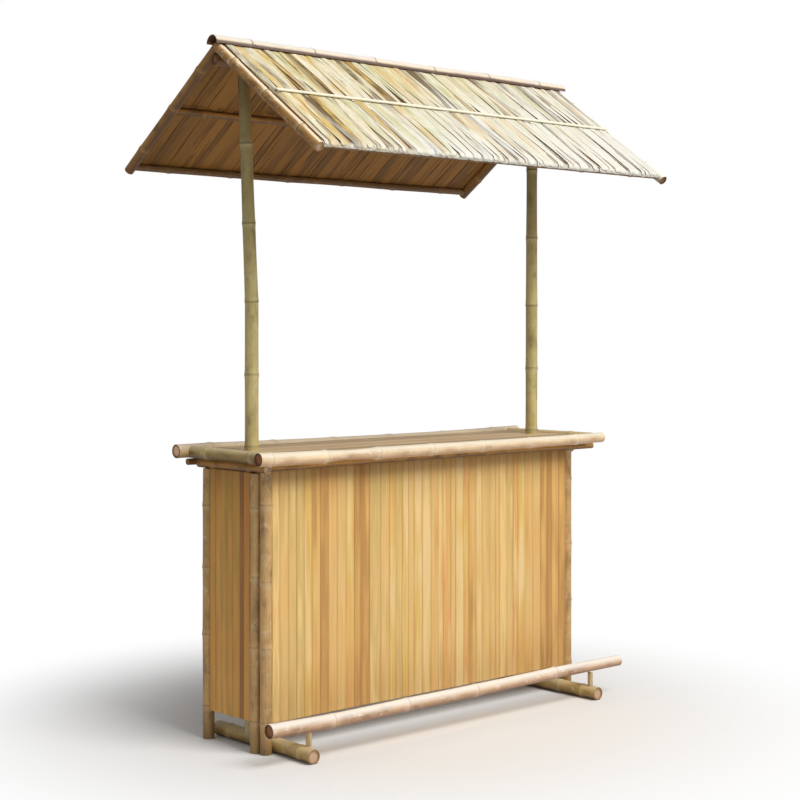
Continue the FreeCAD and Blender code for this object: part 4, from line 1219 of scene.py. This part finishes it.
class TIKI_OT_rails(bpy.types.Operator):
    """Dress the rails, the stretcher, the bearers and the battens"""

    bl_idname = "tiki.rails"
    bl_label = "Rails and Bearers"

    def execute(self, context):
        levels = ("bottom", "middle", "top")
        poles = [(f"front_{level}_rail", ALONG_X) for level in levels]
        poles += [(f"{side}_side_{level}_rail", ALONG_Y) for side in SIDES for level in levels]
        poles += [("back_stretcher", ALONG_X)]
        poles += [(f"counter_{place}_batten", ALONG_Y) for place in ("left", "middle", "right")]
        for number, (node, direction) in enumerate(poles):
            span = pole_along(node, direction, 0.24, 0.6 * MM, crook=0.6 * MM)
            culm_piece(node, [span], brown_culm(), 200 + number)
        for number, node in enumerate(("left_bearer", "right_bearer")):
            span = pole_along(node, ALONG_Y, 0.24, 0.0, crook=0.0)
            culm_piece(node, [span], amber_culm(), 250 + number, bright_end())
        return {"FINISHED"}


class TIKI_OT_slats(bpy.types.Operator):
    """Build the uneven slats of the front and the sides"""

    bl_idname = "tiki.slats"
    bl_label = "Slats"

    def execute(self, context):
        slat_row("front_slat_boards", "front_slats", ALONG_X, -ALONG_Y, ALONG_Z, 41, FRONT_SLATS_SEED,
                 panel_slat_finish(), stretch=5 * MM, rise=15 * MM)
        for side, sign in SIDES.items():
            slat_row(f"{side}_side_slat_boards", f"{side}_side_slats", ALONG_Y, ALONG_X * sign, ALONG_Z, 7,
                     275 + 2 * sign, side_slat_finish(), ragged=0.6 * MM, stretch=2 * MM,
                     rise=2 * MM)
        return {"FINISHED"}


class TIKI_OT_counter(bpy.types.Operator):
    """Dress the counter's edge poles, support poles and top"""

    bl_idname = "tiki.counter"
    bl_label = "Counter Top"

    def execute(self, context):
        culm_piece("counter_front_rim", [front_rim()], tan_culm(), 301, stained_end())
        culm_piece("counter_back_rim", [back_rim()], tan_painted_top_culm(), 302, fresh_end())
        for side, sign in SIDES.items():
            node = f"counter_{side}_rim"
            span = pole_along(node, ALONG_Y, 0.29, crook=1.0 * MM)
            culm_piece(node, [span], mossy_culm(), 310 + sign)
        culm_piece("front_support_pole", [support_pole("front")], amber_culm(), 320,
                   bright_end())
        culm_piece("back_support_pole", [support_pole("back")], smoked_culm(), 321)
        slat_row("counter_top_boards", "counter_top_slats", ALONG_Y, ALONG_Z, ALONG_X, 12, 71,
                 top_slat_finish())
        return {"FINISHED"}


class TIKI_OT_base(bpy.types.Operator):
    """Dress the skids and the footrest pole"""

    bl_idname = "tiki.base"
    bl_label = "Base and Footrest"

    def execute(self, context):
        for side, sign in SIDES.items():
            culm_piece(f"{side}_skid", [skid(side)], mossy_culm(), 401 + sign)
        culm_piece("footrest_pole", [footrest()], cream_culm(), 405, stained_end(),
                   name="footrest_culm")
        return {"FINISHED"}


class TIKI_OT_roof_posts(bpy.types.Operator):
    """Dress the two tall posts that carry the roof"""

    bl_idname = "tiki.roof_posts"
    bl_label = "Roof Posts"

    def execute(self, context):
        for side, sign in SIDES.items():
            culm_piece(f"{side}_roof_post", roof_post(side), olive_culm(), 501 + sign)
        return {"FINISHED"}


class TIKI_OT_roof_frame(bpy.types.Operator):
    """Dress the rafters, the ridge pole, the cap and the poles across the rafters"""

    bl_idname = "tiki.roof_frame"
    bl_label = "Roof Frame"

    def execute(self, context):
        ridge = pole_along("ridge_pole", ALONG_X, 0.25)
        culm_piece("ridge_pole", [ridge], smoked_culm(), 601, stained_end(),
                   name="ridge_culm")
        seed = 610
        for facing in FACINGS:
            for place in ("head_pole", "purlin", "eave_pole"):
                node = f"{facing}_{place}"
                span = pole_along(node, ALONG_X, 0.27, 0.3 * MM, crook=0.7 * MM)
                finish = amber_culm() if place == "purlin" else smoked_culm()
                culm_piece(node, [span], finish, seed)
                seed += 1
            for side in SIDES:
                # the back rafters take the darker amber culm as painted shade; the front left one has a
                # painted light top
                finish, ends = {
                    ("front", "left"): (pale_culm, end_grain),
                    ("front", "right"): (dry_culm, stained_end),
                }.get((facing, side), (amber_culm, stained_end))
                culm_piece(f"{facing}_{side}_rafter", [rafter(facing, side)], finish(), seed,
                           ends())
                seed += 1
        culm_piece("ridge_cap", [ridge_cap()], cap_culm(), 640, stained_end())
        return {"FINISHED"}


class TIKI_OT_thatch(bpy.types.Operator):
    """Lay the leaf courses on both slopes, and the laths that hold them down"""

    bl_idname = "tiki.thatch"
    bl_label = "Leaf Thatch"

    def execute(self, context):
        seed = 700
        for facing in FACINGS:
            for course in ("upper", "lower"):
                leaf_course(f"{facing}_{course}_leaves", facing, course, seed)
                seed += 1
            node = f"{facing}_top_batten"
            low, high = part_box(node)
            length = high.x - low.x
            blank = Blank(seed)
            corner = middle(node) - ALONG_X * (length / 2)
            corner -= DOWN[facing] * (LATH_WIDTH / 2) + OUT[facing] * (LATH_THICKNESS / 2)
            grow_slat(blank, corner, DOWN[facing], OUT[facing], ALONG_X, LATH_WIDTH, LATH_THICKNESS, length,
                      2 * MM)
            blank.lay(f"{node}_lath", [lath_finish(), lath_finish()], [node])
            seed += 1
        return {"FINISHED"}


class TIKI_OT_pegs(bpy.types.Operator):
    """Give the pegs their bare hardwood"""

    bl_idname = "tiki.pegs"
    bl_label = "Pegs"

    def execute(self, context):
        for name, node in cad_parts.items():
            if name.endswith(("_pegs", "_peg")):
                node.data.materials.clear()
                node.data.materials.append(peg_finish())
        return {"FINISHED"}


# Camera, lights and floor

# The photograph is 800 pixels wide; its level camera's horizon lies 71.9 pixels above the middle
PHOTO_WIDTH = 800
HORIZON_RISE = 71.9
# Place and heading of the camera, in metres and degrees, with its lens in millimetres
CAMERA_PLACE = Vector((-4.381, -4.816, 1.502))
CAMERA_YAW = math.radians(-42.215)
CAMERA_LENS = 75.0
SENSOR_WIDTH = 36.0
LIGHT_AIM = Vector((0, 0, 1.3))
FLOOR_RADIUS = 14.0
# The floor's shadows fade out between these distances from the bar's middle
FADE_FROM = 0.7
FADE_TO = 2.0


def area_light(name, place, size, power, colour):
    """A square soft box that faces the bar's middle."""
    data = bpy.data.lights.new(name, "AREA")
    data.shape = "RECTANGLE"
    data.size, data.size_y = size, size
    data.energy = power
    data.color = colour
    lamp = bpy.data.objects.new(name, data)
    lamp.location = place
    lamp.rotation_euler = (LIGHT_AIM - place).to_track_quat("-Z", "Y").to_euler()
    bpy.context.scene.collection.objects.link(lamp)


class TIKI_OT_stage(bpy.types.Operator):
    """Set the camera, the soft light and the pale floor"""

    bl_idname = "tiki.stage"
    bl_label = "Stage"

    def execute(self, context):
        scene = context.scene
        camera_data = bpy.data.cameras.new("camera")
        camera_data.lens = CAMERA_LENS
        camera_data.sensor_width = SENSOR_WIDTH
        camera_data.shift_y = -HORIZON_RISE / PHOTO_WIDTH
        camera = bpy.data.objects.new("camera", camera_data)
        camera.location = CAMERA_PLACE
        camera.rotation_euler = (math.pi / 2, 0, CAMERA_YAW)
        scene.collection.objects.link(camera)
        scene.camera = camera
        scene.view_settings.view_transform = "Standard"

        area_light("key", Vector((0.9, -6.8, 8.2)), 6.0, 930, (1.0, 0.985, 0.95))
        area_light("sky", Vector((0.8, -0.6, 6.5)), 4.0, 15, (1.0, 1.0, 1.0))

        world = bpy.data.worlds.new("studio")
        world.use_nodes = True
        tree = world.node_tree
        tree.nodes.clear()
        seen = put(tree, "ShaderNodeLightPath").outputs["Is Camera Ray"]
        ambient = put(tree, "ShaderNodeBackground", {"Color": (1, 1, 1, 1), "Strength": 0.33}).outputs[0]
        white = put(tree, "ShaderNodeBackground", {"Color": (1, 1, 1, 1), "Strength": 1.0}).outputs[0]
        both = put(tree, "ShaderNodeMixShader", {0: seen, 1: ambient, 2: white}).outputs[0]
        put(tree, "ShaderNodeOutputWorld", {"Surface": both})
        scene.world = world

        mesh = bpy.data.meshes.new("floor")
        sculpt = bmesh.new()
        bmesh.ops.create_circle(sculpt, cap_ends=True, segments=96, radius=FLOOR_RADIUS)
        sculpt.to_mesh(mesh)
        sculpt.free()
        mesh.materials.append(floor_finish())
        floor = bpy.data.objects.new("floor", mesh)
        floor.location.z = -0.5 * MM
        scene.collection.objects.link(floor)
        return {"FINISHED"}


def floor_finish():
    """Matt white studio floor that takes the bar's shadow and fades to white far out."""
    material, tree = blank_material("Floor studio white")
    if tree is None:
        return material
    place = put(tree, "ShaderNodeTexCoord").outputs["Object"]
    reach = put(tree, "ShaderNodeVectorMath", {0: place}, operation="LENGTH").outputs["Value"]
    far = put(tree, "ShaderNodeMapRange", {"Value": reach, 1: FADE_FROM, 2: FADE_TO, 3: 0.0, 4: 1.0},
              interpolation_type="SMOOTHSTEP").outputs[0]
    seen = put(tree, "ShaderNodeLightPath").outputs["Is Camera Ray"]
    share = put(tree, "ShaderNodeMath", {0: far, 1: seen}, operation="MULTIPLY").outputs[0]
    dull = put(tree, "ShaderNodeBsdfPrincipled", {"Base Color": (0.86, 0.86, 0.86, 1), "Roughness": 0.9})
    glow = put(tree, "ShaderNodeEmission", {"Color": (1, 1, 1, 1), "Strength": 1.0})
    both = put(tree, "ShaderNodeMixShader", {0: share, 1: dull.outputs[0], 2: glow.outputs[0]}).outputs[0]
    put(tree, "ShaderNodeOutputMaterial", {"Surface": both})
    return material


class TIKI_PT_bar(bpy.types.Panel):
    """Buttons and settings of the bamboo bar"""

    bl_label = "Bamboo Bar"
    bl_idname = "TIKI_PT_bar"
    bl_space_type = "VIEW_3D"
    bl_region_type = "UI"
    bl_category = "Bamboo Bar"

    def draw(self, context):
        for operator in OPERATORS:
            self.layout.operator(operator.bl_idname)
        for look in ("culm_look", "slat_look", "leaf_look"):
            settings = getattr(context.scene, look)
            column = self.layout.column()
            for name in settings.__annotations__:
                column.prop(settings, name)


OPERATORS = (
    TIKI_OT_stage,
    TIKI_OT_panel_posts,
    TIKI_OT_rails,
    TIKI_OT_slats,
    TIKI_OT_counter,
    TIKI_OT_base,
    TIKI_OT_roof_posts,
    TIKI_OT_roof_frame,
    TIKI_OT_thatch,
    TIKI_OT_pegs,
)
GROUPS = {"culm_look": CulmSettings, "slat_look": SlatSettings, "leaf_look": LeafSettings}


def register():
    """Add the settings, the operators and the panel to Blender."""
    for group in GROUPS.values():
        bpy.utils.register_class(group)
    for operator in OPERATORS:
        bpy.utils.register_class(operator)
    bpy.utils.register_class(TIKI_PT_bar)
    for name, group in GROUPS.items():
        setattr(bpy.types.Scene, name, bpy.props.PointerProperty(type=group))


def unregister():
    """Take them out again."""
    for name in GROUPS:
        delattr(bpy.types.Scene, name)
    bpy.utils.unregister_class(TIKI_PT_bar)
    for operator in reversed(OPERATORS):
        bpy.utils.unregister_class(operator)
    for group in GROUPS.values():
        bpy.utils.unregister_class(group)


def main():
    """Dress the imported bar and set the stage."""
    register()
    for operator in OPERATORS:
        getattr(bpy.ops.tiki, operator.bl_idname.split(".")[1])()


if __name__ == "__main__":
    main()
